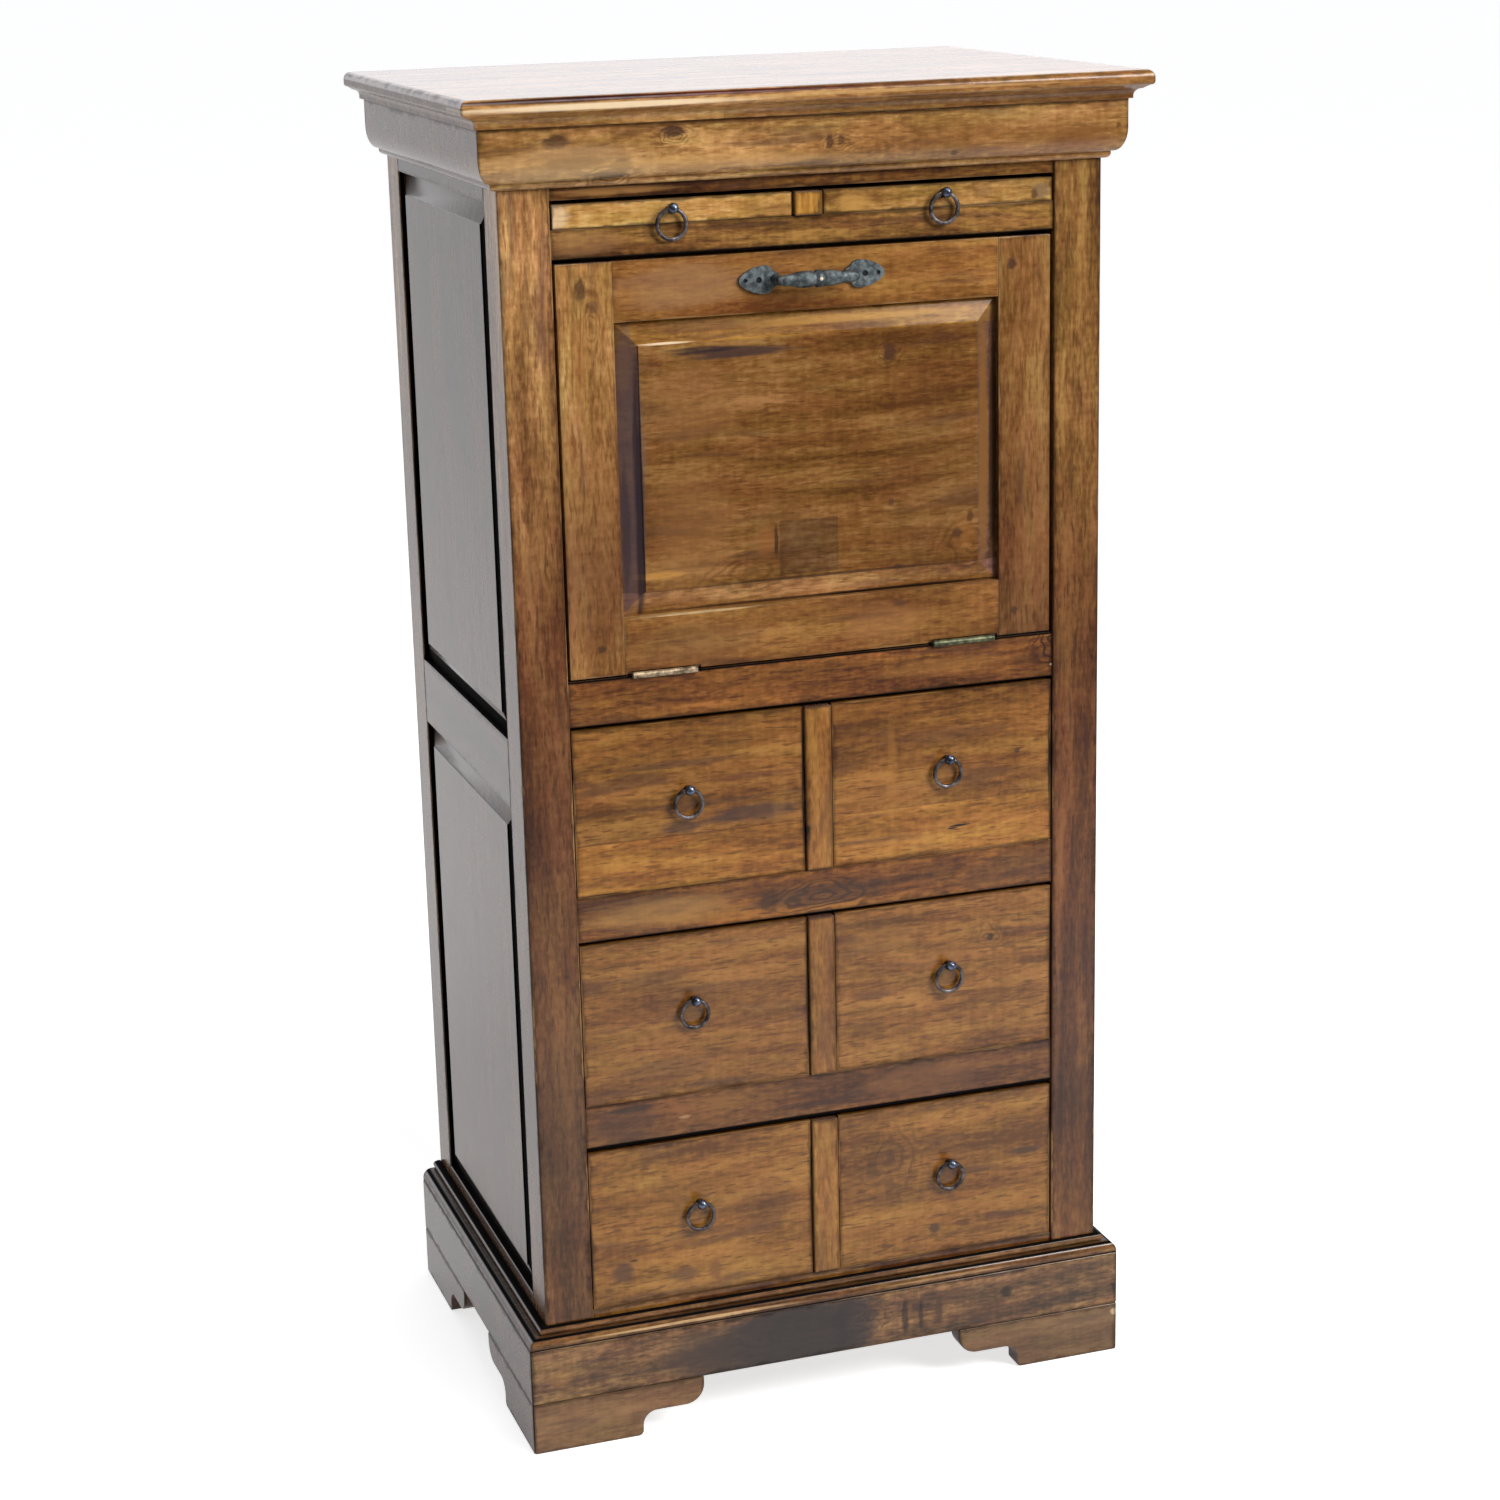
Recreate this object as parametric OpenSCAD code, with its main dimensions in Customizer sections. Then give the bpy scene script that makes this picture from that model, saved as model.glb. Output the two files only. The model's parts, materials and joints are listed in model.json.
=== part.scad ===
// Secretary desk: a fall front over six small drawers, with two pull-out slides above it,
// a moulded top and cornice, framed sides with raised panels, and a plinth on bracket feet.
// Origin on the floor under the centre of the top board; +X right, +Y back, +Z up.

/* [Cabinet body] */
// Width across the posts
body_w = 541; // [520:1:580]
// Depth from the front of the posts to their back
body_d = 406; // [390:1:430]
// Side of a square corner post
post = 44.5; // [42:0.5:50]
// Thickness of the front rails, front to back
rail_t = 24; // [20:1:28]
// How far rails, drawers and fall lie behind the post faces
rail_set = 2; // [0.5:0.5:4]
// Width of the upright strips between left and right
muntin_w = 25; // [20:1:30]
// How far those strips stand proud of the rails
muntin_proud = 2.5; // [1:0.5:4]
// Gap above each of those strips
muntin_gap = 3.5; // [2:0.5:6]
// Thickness of the side rails
frame_t = 22; // [20:1:26]
// Height of the middle rail of a side
side_rail_h = 62; // [50:1:75]
// Part of a side's top rail that shows below the cornice
side_top_show = 12.5; // [8:0.5:20]
// Part of a side's bottom rail that shows above the base
side_base_show = 12; // [8:0.5:20]

/* [Heights from the floor up] */
// Height of the bracket feet
foot_h = 48.5; // [44:0.5:60]
// Height of the plinth boards
plinth_h = 53; // [45:1:65]
// Height of the moulding on the plinth
cap_h = 18; // [14:0.5:22]
// Part of the base rail that shows under the lowest drawers
base_rail_show = 7; // [5:0.5:15]
// Height of a drawer opening
drawer_open_h = 154.5; // [145:0.5:165]
// Height of the rails over each drawer row
rail_h = 41; // [36:0.5:48]
// Height of the fall front's opening
fall_open_h = 359; // [345:0.5:375]
// Height of the rail between the fall and the slides
slide_rail_h = 25; // [20:0.5:32]
// Height of the opening for the slides
slide_open_h = 24; // [22:0.5:28]
// Part of the top rail that shows below the cornice
top_rail_show = 10.5; // [6:0.5:16]
// Height of the cornice
cornice_h = 51; // [44:0.5:58]
// Thickness of the top board
top_t = 24.5; // [23:0.5:27]

/* [Top, cornice and base] */
// Overhang of the top at each side
top_over_side = 34.5; // [28:0.5:40]
// Overhang of the top at the front
top_over_front = 34; // [30:1:42]
// Overhang of the top at the back
top_over_back = 12; // [6:1:20]
// Height of the rounded nose on the top's edge
nose_h = 13; // [11:0.5:14.5]
// Radius of the nose's upper corner
nose_r = 6.5; // [4:0.5:8]
// Radius of the cove under the nose
top_cove_r = 6; // [4:0.5:7]
// Distance of that cove in from the nose's edge
top_cove_in = 8; // [5:0.5:10]
// Projection of the cornice at each side
cornice_side = 18; // [16:0.5:24]
// Projection of the cornice at the front
cornice_front = 16; // [13:0.5:20]
// Projection of the cornice behind the posts
cornice_back = 5; // [2:0.5:10]
// Projection of the plinth at each side
plinth_side = 19; // [14:0.5:20]
// Projection of the plinth at the front
plinth_front = 12; // [10:0.5:16]
// Projection of the plinth behind the posts
plinth_back = 2; // [1:0.5:6]
// Thickness of the bracket boards of the feet
bracket_t = 21; // [19:1:24]
// Length of a bracket on the floor
foot_base = 104; // [90:1:115]
// Length of a bracket at its top
foot_reach = 163; // [155:1:175]
// Height of the bracket's waist
foot_waist = 23; // [21:0.5:25]
// Radius of the rounded toe
toe_r = 5; // [3:0.5:7]
// Radius of the cove behind the toe
foot_cove_r = 13; // [10:0.5:15]
// Radius of the lobe at the bracket's tip
foot_lobe_r = 18; // [14:0.5:20]
// Side of the corner block in a foot
block_w = 38; // [32:1:42]
// Clearance of the corner block above the floor
block_lift = 3; // [2:0.5:6]

/* [Raised panels] */
// Width of the bevel round a raised panel
bevel = 20; // [16:0.5:24]
// Depth of the bevel's outer edge below the frame's face
recess = 7; // [5:0.5:8]
// Small upright step round the raised field
lip = 1; // [0.5:0.25:2]
// Height of the fall panel's field over its frame
fall_field_proud = 1.5; // [0.5:0.5:3]
// Depth of the side panels' field under their frame
side_field_set = 1; // [0.5:0.5:2]
// Thickness of the tongue that sits in the frame's groove
tongue_t = 6; // [5:0.5:7]
// Depth of that tongue in the groove
tongue_in = 8; // [6:0.5:10]
// Thickness of the side panels behind the frame's face
side_panel_t = 16; // [15:0.5:18]

/* [Fall front] */
// Thickness of the fall
fall_t = 22; // [20:0.5:26]
// Width of its stiles
stile_w = 49; // [44:1:56]
// Height of its two rails
fall_rail_h = 51; // [46:1:58]
// Gap beside the fall
fall_gap = 2.75; // [2:0.25:3.5]
// Gap above the fall
fall_gap_top = 3.5; // [3:0.25:5]
// Gap under the fall, where the hinge leaves lie
fall_gap_bottom = 1.5; // [1.25:0.25:2]
// Length of a hinge
hinge_len = 58; // [50:1:66]
// Distance of a hinge from the fall's stile
hinge_in = 6; // [2:0.5:20]
// Radius of the hinge knuckles
knuckle_r = 2.9; // [2.6:0.1:3.3]
// Radius of the hinge pin
pin_r = 1.3; // [1:0.1:1.5]
// Thickness of a hinge leaf
leaf_t = 1.3; // [1:0.1:1.5]
// Width of a hinge leaf from the pin to its edge
leaf_w = 20; // [16:1:21]
// Opening angle of the fall, where the stays stop it
fall_open = 90; // [80:1:90]
// Radius of the arc stays about the hinge pin
stay_r = 140; // [125:1:150]
// Thickness of the stay's brass strip
stay_t = 3; // [2:0.5:4]
// Width of the stay's strip
stay_w = 9; // [7:0.5:11]
// Distance between the stay and the post
stay_in = 6; // [5.5:0.5:8]

/* [Handle and pulls] */
// Length of the iron handle on the fall
handle_len = 132; // [124:1:140]
// Length of each end plate of the handle
plate_len = 33; // [28:0.5:38]
// Greatest width of an end plate
plate_w = 23.8; // [20:0.2:30]
// Thickness of an end plate
plate_t = 2.5; // [2:0.25:3.5]
// Greatest radius of the turned grip
grip_r = 7.2; // [6.5:0.1:8.5]
// Distance of the grip's middle line from the fall's face
handle_out = 17; // [16:0.5:22]
// Distance of the handle's middle below the fall's top edge
handle_drop = 23; // [20:0.5:26]
// Distance of the handle to the right of the middle
handle_x = 2; // [-6:0.5:6]
// Radius of the middle line of a pull ring
ring_r = 12.6; // [11.5:0.1:14]
// Radius of the ring's wire
wire_r = 1.85; // [1.5:0.05:2]
// Distance of the ring's middle plane from the wood
ring_out = 4.6; // [4.4:0.1:5.5]
// Radius of the ball in front of the ring
ball_r = 4.5; // [4:0.1:5]
// Distance between the ball and the middle of the ring's wire
ball_gap = 1.1; // [1:0.05:1.5]
// Height of the ball's middle over the eye's
ball_rise = 1.2; // [0:0.1:1.5]
// Clearance round the wire in its eye
eye_play = 0.75; // [0.7:0.05:0.9]
// Wall round the eye
eye_wall = 1.3; // [1:0.05:1.6]
// Width of the eye along the wire
eye_len = 4; // [3:0.25:5]
// Radius of the neck against the wood
collar_r = 3; // [2.5:0.1:3.5]
// Radius of the pull's shank
shank_r = 2; // [1.5:0.1:2.4]
// Height of a pull over the middle of its drawer front
pull_rise = 11.8; // [8:0.1:16]
// Height of a pull over the middle of a slide's edge
slide_pull_rise = 2; // [0:0.5:5]
// Distance of a pull outward from the middle of its bay
pull_shift = 3; // [0:0.5:8]

/* [Drawers and slides] */
// Thickness of a drawer front
front_t = 20; // [18:1:24]
// Gap beside a drawer front
drawer_gap = 1; // [0.5:0.25:2]
// Gap above a drawer front
drawer_top_gap = 3; // [2:0.5:5]
// Thickness of the drawer sides
side_t = 11; // [9:0.5:13]
// Height of the drawer sides
side_h = 118; // [95:1:122]
// Length of the drawer sides behind the front
drawer_len = 320; // [280:1:330]
// Thickness of a drawer bottom
bottom_t = 5; // [4:0.5:6]
// Height of a drawer bottom over the runners
bottom_rise = 10; // [8:1:14]
// Travel of a drawer
drawer_travel = 240; // [180:1:250]
// Thickness of a slide
slide_t = 20; // [18:0.5:20.5]
// Length of a slide
slide_len = 340; // [300:1:350]
// Depth of the strip along a slide's front edge
slide_edge = 18; // [14:1:26]
// Gap beside a slide
slide_gap = 1.5; // [1:0.25:2.5]
// Travel of a slide
slide_travel = 240; // [180:1:260]
// Width of the runners under the drawers
runner_w = 20; // [14:1:26]
// Height of the runners
runner_h = 18; // [14:1:20]

/* [Inside] */
// Thickness of the desk floor
floor_t = 16; // [14:0.5:18]
// Thickness of the board over the desk space
ceiling_t = 12; // [10:0.5:14]
// Thickness of the back and the bottom board
sheet_t = 6; // [5:0.5:7]
// Thickness of the back rails
back_rail_t = 20; // [16:1:24]
// Height of the back rails
back_rail_h = 40; // [34:1:48]
// Depth of the pigeonholes
nook_d = 168; // [140:1:175]
// Height of the pigeonholes under their shelf
nook_h = 190; // [150:1:240]
// Thickness of the shelf and its dividers
nook_t = 11; // [9:0.5:14]

/* [Hidden] */
$fn = 48;
joint_gap = 0.2;  // between glued pieces
fit = 0.15;       // round a tongue in its groove, or a shank in its hole
run_gap = 0.3;    // under and over what slides
pin_play = 0.05;  // round the hinge pin

ROWS = ["upper", "middle", "lower"];
SIDES = ["left", "right"];
DRAWER_PARTS = ["front", "box", "pull", "ring"];
SLIDE_PARTS = ["board", "pull", "ring"];
function drawer_node(r, s, part) = str(ROWS[r], "_", SIDES[s], "_drawer_", part);
function slide_node(s, part) = str(SIDES[s], "_slide_", part);

// Plan: planes of the cabinet, from the outside in
x_body = body_w / 2;
x_open = x_body - post;
x_frame = x_body - frame_t;
y_front = top_over_front - (body_d + top_over_front + top_over_back) / 2;
y_back = y_front + body_d;
y_face = y_front + rail_set;
y_rail = y_face + rail_t;
y_post = y_front + post;
y_back_post = y_back - post;
y_sheet = y_back - sheet_t;
y_back_rail = y_sheet - back_rail_t;
bay_w = x_open - muntin_w / 2;
bay_x = (x_open + muntin_w / 2) / 2;

// Heights of the front, from the floor up
z_cap = foot_h + plinth_h;
z_body = z_cap + cap_h;
z_base = z_body + base_rail_show;
row_pitch = drawer_open_h + rail_h;
function row_z(r) = z_base + (2 - r) * row_pitch;
z_fall = z_base + 3 * row_pitch;
z_slide_rail = z_fall + fall_open_h;
z_slide = z_slide_rail + slide_rail_h;
z_top_rail = z_slide + slide_open_h;
z_cornice = z_top_rail + top_rail_show;
z_top = z_cornice + cornice_h;
top_rail_h = top_rail_show + 0.65 * cornice_h;
base_rail_h = base_rail_show + cap_h + 0.35 * plinth_h;

// Heights of a side
z_side_low = z_body + side_base_show;
side_open_h = (z_cornice - side_top_show - z_side_low - side_rail_h) / 2;
z_side_mid = z_side_low + side_open_h;
z_side_high = z_side_mid + side_rail_h;
z_side_foot = foot_h + 0.25 * plinth_h;
side_open_w = y_back_post - y_post;

// Fall front
fall_w = 2 * (x_open - fall_gap);
fall_h = fall_open_h - fall_gap_top - fall_gap_bottom;
z_fall_low = z_fall + fall_gap_bottom;
z_fall_mid = z_fall_low + fall_h / 2;
fall_open_half_w = fall_w / 2 - stile_w;
fall_open_half_h = fall_h / 2 - fall_rail_h;
y_fall_in = y_face + fall_t;
hinge_x = fall_open_half_w - hinge_in - hinge_len / 2;
pivot_y = y_face - (knuckle_r - 0.9);
pivot_z = z_fall + fall_gap_bottom / 2;
// The desk floor is level with the inner face of the open fall
z_desk = pivot_z + y_fall_in - pivot_y;
z_floor = z_desk - floor_t;
leaf_gap = 0.15;
notch_len = hinge_len + 8;
notch_in = knuckle_r + 0.4;

// Arc stays
stay_x = x_open - stay_in - stay_t / 2;
guide_y = (y_fall_in + y_post) / 2 + 3.5;
guide_a = asin((guide_y - pivot_y) / stay_r);
guide_half = 2.2;
stop_half = 1.2;
stop_a = fall_open + guide_a + guide_half + 0.3;
stay_start = asin((y_fall_in - pivot_y + 1) / stay_r);
guide_rim = 4;
slot_play = 2;

// Slides and their guides
slide_top = z_slide + run_gap + slide_t;
z_kicker = slide_top + 1;
kicker_h = 12;

pigeon_y = y_sheet - nook_d;

// A box given by its ranges
module block(x, y, z)
    translate([x[0], y[0], z[0]]) cube([x[1] - x[0], y[1] - y[0], z[1] - z[0]]);

module both_sides() {
    children();
    mirror([1, 0, 0]) children();
}

// What is drawn for the left, on either side
module on_side(s) {
    if (s == 0) children();
    else mirror([1, 0, 0]) children();
}

function arc(cx, cy, r, from, to, steps = 8) =
    [for (i = [0 : steps]) let (a = from + (to - from) * i / steps) [cx + r * cos(a), cy + r * sin(a)]];

function flip_x(points) = [for (i = [len(points) - 1 : -1 : 0]) [-points[i][0], points[i][1]]];

// Extrude an outline drawn in X and Z through the whole depth, or one in Y and Z through the width
reach = body_w;
module through_depth(points)
    translate([0, reach, 0]) rotate([90, 0, 0]) linear_extrude(2 * reach) polygon(points);
module through_width(points)
    translate([-reach, 0, 0]) rotate([90, 0, 90]) linear_extrude(2 * reach) polygon(points);

// A moulding round the front and both sides of the body. Its section is given in shares
// of its projection and of its height, so that it mitres where the projections differ.
module wrap(section, z, h, side, front, back) {
    across = [for (q = section) [x_body + q[0] * side, z + q[1] * h]];
    along = [for (q = section) [y_front - q[0] * front, z + q[1] * h]];
    difference() {
        intersection() {
            through_depth(concat(across, flip_x(across)));
            through_width(concat(along, [[y_back + back, z + h], [y_back + back, z]]));
        }
        block([-x_body, x_body], [y_front, y_back + back + 1], [z - 1, z + h + 1]);
    }
}

// The wedge of space in front of both mitres
module mitre_space(z, h, side, front)
    translate([0, 0, z - 1]) linear_extrude(h + 2)
        polygon([[-x_body, y_front], [x_body, y_front],
                 [x_body + 2 * side, y_front - 2 * front], [-x_body - 2 * side, y_front - 2 * front]]);

// The same moulding as three mitred pieces
module mitred_wrap(section, z, h, side, front, back) {
    intersection() {
        wrap(section, z, h, side, front, back);
        mitre_space(z, h, side, front);
    }
    difference() {
        wrap(section, z, h, side, front, back);
        translate([0, joint_gap, 0]) mitre_space(z, h, side, front);
    }
}

// Section of a raised panel: [distance from its middle, height over the frame's face]
function panel_half(half, proud, thick) = [
    [half - joint_gap, -thick],
    [half - joint_gap, -recess - tongue_t],
    [half + tongue_in, -recess - tongue_t],
    [half + tongue_in, -recess],
    [half, -recess],
    [half - bevel, proud - lip],
    [half - bevel, proud]];
function panel_section(half, proud, thick) =
    let (right = panel_half(half, proud, thick)) concat(right, flip_x(right));

// A raised panel upright in X and Z with its face towards -Y, and the groove it needs
module raised_panel(half_w, half_h, proud, thick)
    intersection() {
        translate([0, 0, -reach]) linear_extrude(2 * reach)
            polygon([for (q = panel_section(half_w, proud, thick)) [q[0], -q[1]]]);
        through_width([for (q = panel_section(half_h, proud, thick)) [-q[1], q[0]]]);
    }

module panel_groove(half_w, half_h) {
    grown = tongue_in + fit;
    block([-half_w - grown, half_w + grown], [recess - fit, recess + tongue_t + fit],
          [-half_h - grown, half_h + grown]);
}

// Top and cornice

function top_section() =
    let (under = top_t - nose_h, foot_r = 3)
    concat([[top_cove_in + top_cove_r, 0]],
           arc(top_cove_in, under - foot_r - top_cove_r, top_cove_r, 0, 90),
           arc(foot_r, under + foot_r, foot_r, 270, 180, 4),
           arc(nose_r, top_t - nose_r, nose_r, 180, 90));

module top_board() {
    half_w = x_body + top_over_side;
    right = [for (q = top_section()) [half_w - q[0], z_top + q[1]]];
    front = [for (q = top_section()) [y_front - top_over_front + q[0], z_top + q[1]]];
    y_end = y_back + top_over_back;
    color("sienna") intersection() {
        through_depth(concat(right, flip_x(right)));
        through_width(concat(front, [[y_end, z_top + top_t], [y_end, z_top]]));
    }
}

// From the body out: a small bead, a fillet, a large ovolo and a flat frieze
cornice_section = concat(
    [[0, 0]],
    [for (a = [0 : 18 : 90]) [0.1 + 0.26 * sin(a), 0.08 * (1 - cos(a))]],
    [[0.36, 0.12]],
    [for (a = [0 : 11.25 : 90]) [0.44 + 0.56 * sin(a), 0.52 - 0.4 * cos(a)]],
    [[1, 1], [0, 1]]);

module cornice()
    color("peru")
        mitred_wrap(cornice_section, z_cornice, cornice_h, cornice_side, cornice_front, cornice_back);

// Base: plinth boards, a moulding on them, and feet under them

board_section = [[0, 0], [1, 0], [1, 1], [0, 1]];
// From the bottom up: an ovolo, a narrow step and a bead against the post
cap_section = concat(
    [[0, 0], [0.97, 0]],
    [for (a = [0 : 11.25 : 90]) [0.5 + 0.47 * cos(a), 0.1 + 0.5 * sin(a)]],
    [for (a = [-90 : 22.5 : 90]) [0.2 + 0.19 * cos(a), 0.79 + 0.19 * sin(a)]],
    [[0.2, 1], [0, 1]]);

module plinth_boards()
    color("saddlebrown") mitred_wrap(board_section, foot_h, plinth_h, plinth_side, plinth_front, plinth_back);

module base_moulding()
    color("sienna") mitred_wrap(cap_section, z_cap, cap_h, plinth_side, plinth_front, plinth_back);

// Outline of a bracket: round toe, cove, waist and a round lobe
function bracket_outline() = concat(
    [[0, 0]],
    arc(foot_base - toe_r, toe_r, toe_r, -90, 0, 5),
    arc(foot_base + foot_cove_r, foot_waist - foot_cove_r, foot_cove_r, 180, 90),
    arc(foot_reach - foot_lobe_r, foot_waist + foot_lobe_r, foot_lobe_r, -90, 0),
    [[foot_reach, foot_h], [0, foot_h]]);

// One bracket along X from the corner, its end mitred
module bracket()
    difference() {
        translate([0, bracket_t, 0]) rotate([90, 0, 0]) linear_extrude(bracket_t) polygon(bracket_outline());
        translate([joint_gap, 0, -1]) linear_extrude(foot_h + 2)
            polygon([[-joint_gap - 1, -1], [-1, -1], [bracket_t + 1, bracket_t + 1],
                     [-joint_gap - 1, bracket_t + 1]]);
    }

// A foot at a corner: two brackets and the block glued behind them
module foot() {
    inner = bracket_t + joint_gap;
    bracket();
    mirror([1, -1, 0]) bracket();
    block([inner, inner + block_w], [inner, inner + block_w], [block_lift, foot_h]);
}

module front_feet()
    color("saddlebrown") both_sides()
        translate([-x_body - plinth_side, y_front - plinth_front, 0]) foot();

module back_feet()
    color("saddlebrown") both_sides()
        translate([-x_body - plinth_side, y_back + plinth_back, 0]) mirror([0, 1, 0]) foot();

// Posts and sides

// Grooves of both panels of the left side
module side_grooves()
    for (z = [z_side_low, z_side_high])
        translate([-x_body, (y_post + y_back_post) / 2, z + side_open_h / 2])
            rotate([0, 0, -90]) panel_groove(side_open_w / 2, side_open_h / 2);

module left_post(y)
    difference() {
        block([-x_body, -x_open], [y, y + post], [foot_h, z_top]);
        side_grooves();
    }

module front_posts()
    color("sienna") both_sides() left_post(y_front);

sheet_in = 10;          // how far the back panel sits in the posts' rebates
sheet_low = foot_h + 8;
sheet_high = z_top - 8;

module back_posts()
    color("sienna") both_sides() difference() {
        left_post(y_back_post);
        block([-x_open - sheet_in - fit, x_open], [y_sheet, y_back + 1], [sheet_low - fit, sheet_high + fit]);
    }

module side_rails() {
    spans = [[z_side_foot, z_side_low], [z_side_mid, z_side_high], [z_side_high + side_open_h, z_top]];
    color("saddlebrown") both_sides() for (span = spans)
        difference() {
            block([-x_body, -x_frame], [y_post, y_back_post], span);
            side_grooves();
        }
}

module side_panels()
    color("peru") both_sides() for (z = [z_side_low, z_side_high])
        translate([-x_body, (y_post + y_back_post) / 2, z + side_open_h / 2])
            rotate([0, 0, -90]) raised_panel(side_open_w / 2, side_open_h / 2, -side_field_set, side_panel_t);

// Front frame

// Room for a hinge at the joint of fall and rail: the knuckle's notch and the leaf's seat
module hinge_seat()
    both_sides() translate([hinge_x, 0, 0]) {
        block([-notch_len / 2, notch_len / 2], [pivot_y - 5, pivot_y + notch_in + 1],
              [pivot_z - notch_in, pivot_z + notch_in]);
        block([-hinge_len / 2 - fit, hinge_len / 2 + fit], [pivot_y, pivot_y + leaf_w + fit],
              [pivot_z - leaf_gap - leaf_t, pivot_z + leaf_gap + leaf_t]);
    }

module front_rails() {
    spans = [[z_base - base_rail_h, z_base], [row_z(1) - rail_h, row_z(1)], [row_z(0) - rail_h, row_z(0)],
             [z_fall - rail_h, z_fall], [z_slide_rail, z_slide], [z_top_rail, z_top_rail + top_rail_h]];
    color("saddlebrown") difference() {
        for (span = spans) block([-x_open, x_open], [y_face, y_rail], span);
        hinge_seat();
    }
}

module muntins() {
    spans = concat([for (r = [0 : 2]) [row_z(r), row_z(r) + drawer_open_h - muntin_gap]],
                   [[z_slide, z_top_rail - muntin_gap]]);
    color("peru") for (span = spans)
        block([-muntin_w / 2, muntin_w / 2], [y_face - muntin_proud, y_rail], span);
}

z_bottom = z_base - runner_h - sheet_t;

// The partition is notched for the strip under the desk floor
strip_t = 18;
floor_strip = [y_fall_in + run_gap, y_fall_in + run_gap + strip_t];
module centre_partition()
    color("burlywood") difference() {
        block([-muntin_w / 2, muntin_w / 2], [y_rail, y_back_rail], [z_bottom + sheet_t, z_floor]);
        block([-x_open, x_open], [y_rail - 1, floor_strip[1] + joint_gap], [z_fall - joint_gap, z_floor + 1]);
    }

// How far the drawer's guide stands over the runner
guide_rise = 20;
// Beside the left posts a guide for the drawer's side, a runner along it and along the partition
module drawer_runners()
    color("burlywood") both_sides() for (r = [0 : 2]) translate([0, 0, row_z(r) - runner_h]) {
        block([-x_frame, -x_open], [y_post, y_back_post], [0, runner_h + guide_rise]);
        for (x = [-x_open, -muntin_w / 2 - runner_w])
            block([x, x + runner_w], [y_rail, y_back_rail], [0, runner_h]);
    }

// Strips that guide the slides: one beside each post, one between the slides, and kickers over them
module slide_guides() {
    kicker_z = [z_kicker, z_kicker + kicker_h];
    color("burlywood") both_sides() {
        block([-x_frame, -x_open], [y_post, y_back_post], [z_slide, kicker_z[1]]);
        block([-x_open, -x_open + runner_w], [y_rail, y_back_rail], kicker_z);
    }
    color("burlywood") {
        block([-muntin_w / 2, muntin_w / 2], [y_rail, y_back_rail], [z_slide, z_kicker]);
        block([-muntin_w / 2 - runner_w, muntin_w / 2 + runner_w], [y_rail, y_back_rail], kicker_z);
    }
}

// Outline of a board that fills the cabinet and is notched round the posts
module notched_board(z, t)
    translate([0, 0, z]) linear_extrude(t)
        polygon([[-x_open, y_rail], [x_open, y_rail], [x_open, y_post], [x_frame, y_post],
                 [x_frame, y_back_post], [x_open, y_back_post], [x_open, y_sheet], [-x_open, y_sheet],
                 [-x_open, y_back_post], [-x_frame, y_back_post], [-x_frame, y_post], [-x_open, y_post]]);

// Slots that the arc stays pass through
module stay_slots() {
    inner = sqrt(pow(stay_r - stay_w, 2) - pow(z_desk - pivot_z, 2));
    both_sides() block([stay_x - stay_t / 2 - slot_play, stay_x + stay_t / 2 + slot_play],
                       [pivot_y + inner - slot_play, pivot_y + stay_r + stay_w + slot_play],
                       [z_floor - 1, z_desk + 1]);
}

// The desk floor, and the strip that fills the height between it and the rail
module desk_floor() {
    color("burlywood") difference() {
        notched_board(z_floor, floor_t);
        stay_slots();
    }
    color("burlywood") block([-x_open, x_open], floor_strip, [z_fall, z_floor - joint_gap]);
}

cleat_h = 16;
module floor_cleats()
    color("burlywood") both_sides()
        block([-x_frame, -x_open], [y_post, y_back_post], [z_floor - cleat_h, z_floor]);

stop_h = 30;
stop_w = 16;
stop_in = 30;
// The board over the desk space, with the batten that the closed fall rests against
module desk_ceiling() {
    z = z_slide - ceiling_t;
    color("burlywood") notched_board(z, ceiling_t);
    span = [-x_open + stop_in, x_open - stop_in];
    color("burlywood") union() {
        block(span, [y_rail, y_rail + stop_w], [z - joint_gap - stop_h, z - joint_gap]);
        block(span, [y_fall_in + run_gap, y_rail + 1], [z - joint_gap - stop_h, z_slide_rail - 1]);
    }
}

module back_rails() {
    tops = [z_bottom + sheet_t - joint_gap, z_floor, z_slide - ceiling_t, z_top];
    color("burlywood") for (z = tops) block([-x_open, x_open], [y_back_rail, y_sheet], [z - back_rail_h, z]);
}

module back_panel()
    color("tan") block([-x_open - sheet_in, x_open + sheet_in], [y_sheet, y_back], [sheet_low, sheet_high]);

module bottom_board()
    color("tan") block([-x_open, x_open], [y_rail, y_back_rail], [z_bottom, z_bottom + sheet_t]);

// A shelf notched round the back posts, and two dividers under it
module pigeonholes() {
    shelf_z = z_desk + nook_h;
    color("burlywood") union() {
        block([-x_frame, x_frame], [pigeon_y, y_back_post], [shelf_z, shelf_z + nook_t]);
        block([-x_open, x_open], [pigeon_y, y_sheet], [shelf_z, shelf_z + nook_t]);
    }
    color("burlywood") for (x = [-1, 1] * x_open / 3)
        block([x - nook_t / 2, x + nook_t / 2], [pigeon_y, y_sheet], [z_desk, shelf_z - joint_gap]);
}

// Fall front

module fall_grooves()
    translate([0, y_face, z_fall_mid]) panel_groove(fall_open_half_w, fall_open_half_h);

module fall_stiles()
    color("peru") both_sides() difference() {
        block([-fall_w / 2, -fall_open_half_w], [y_face, y_fall_in], [z_fall_low, z_fall_low + fall_h]);
        fall_grooves();
    }

module fall_rails() {
    half = fall_open_half_w;
    lows = [z_fall_low, z_fall_low + fall_h - fall_rail_h];
    color("peru") difference() {
        for (z = lows) block([-half, half], [y_face, y_fall_in], [z, z + fall_rail_h]);
        fall_grooves();
        hinge_seat();
    }
}

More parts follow.
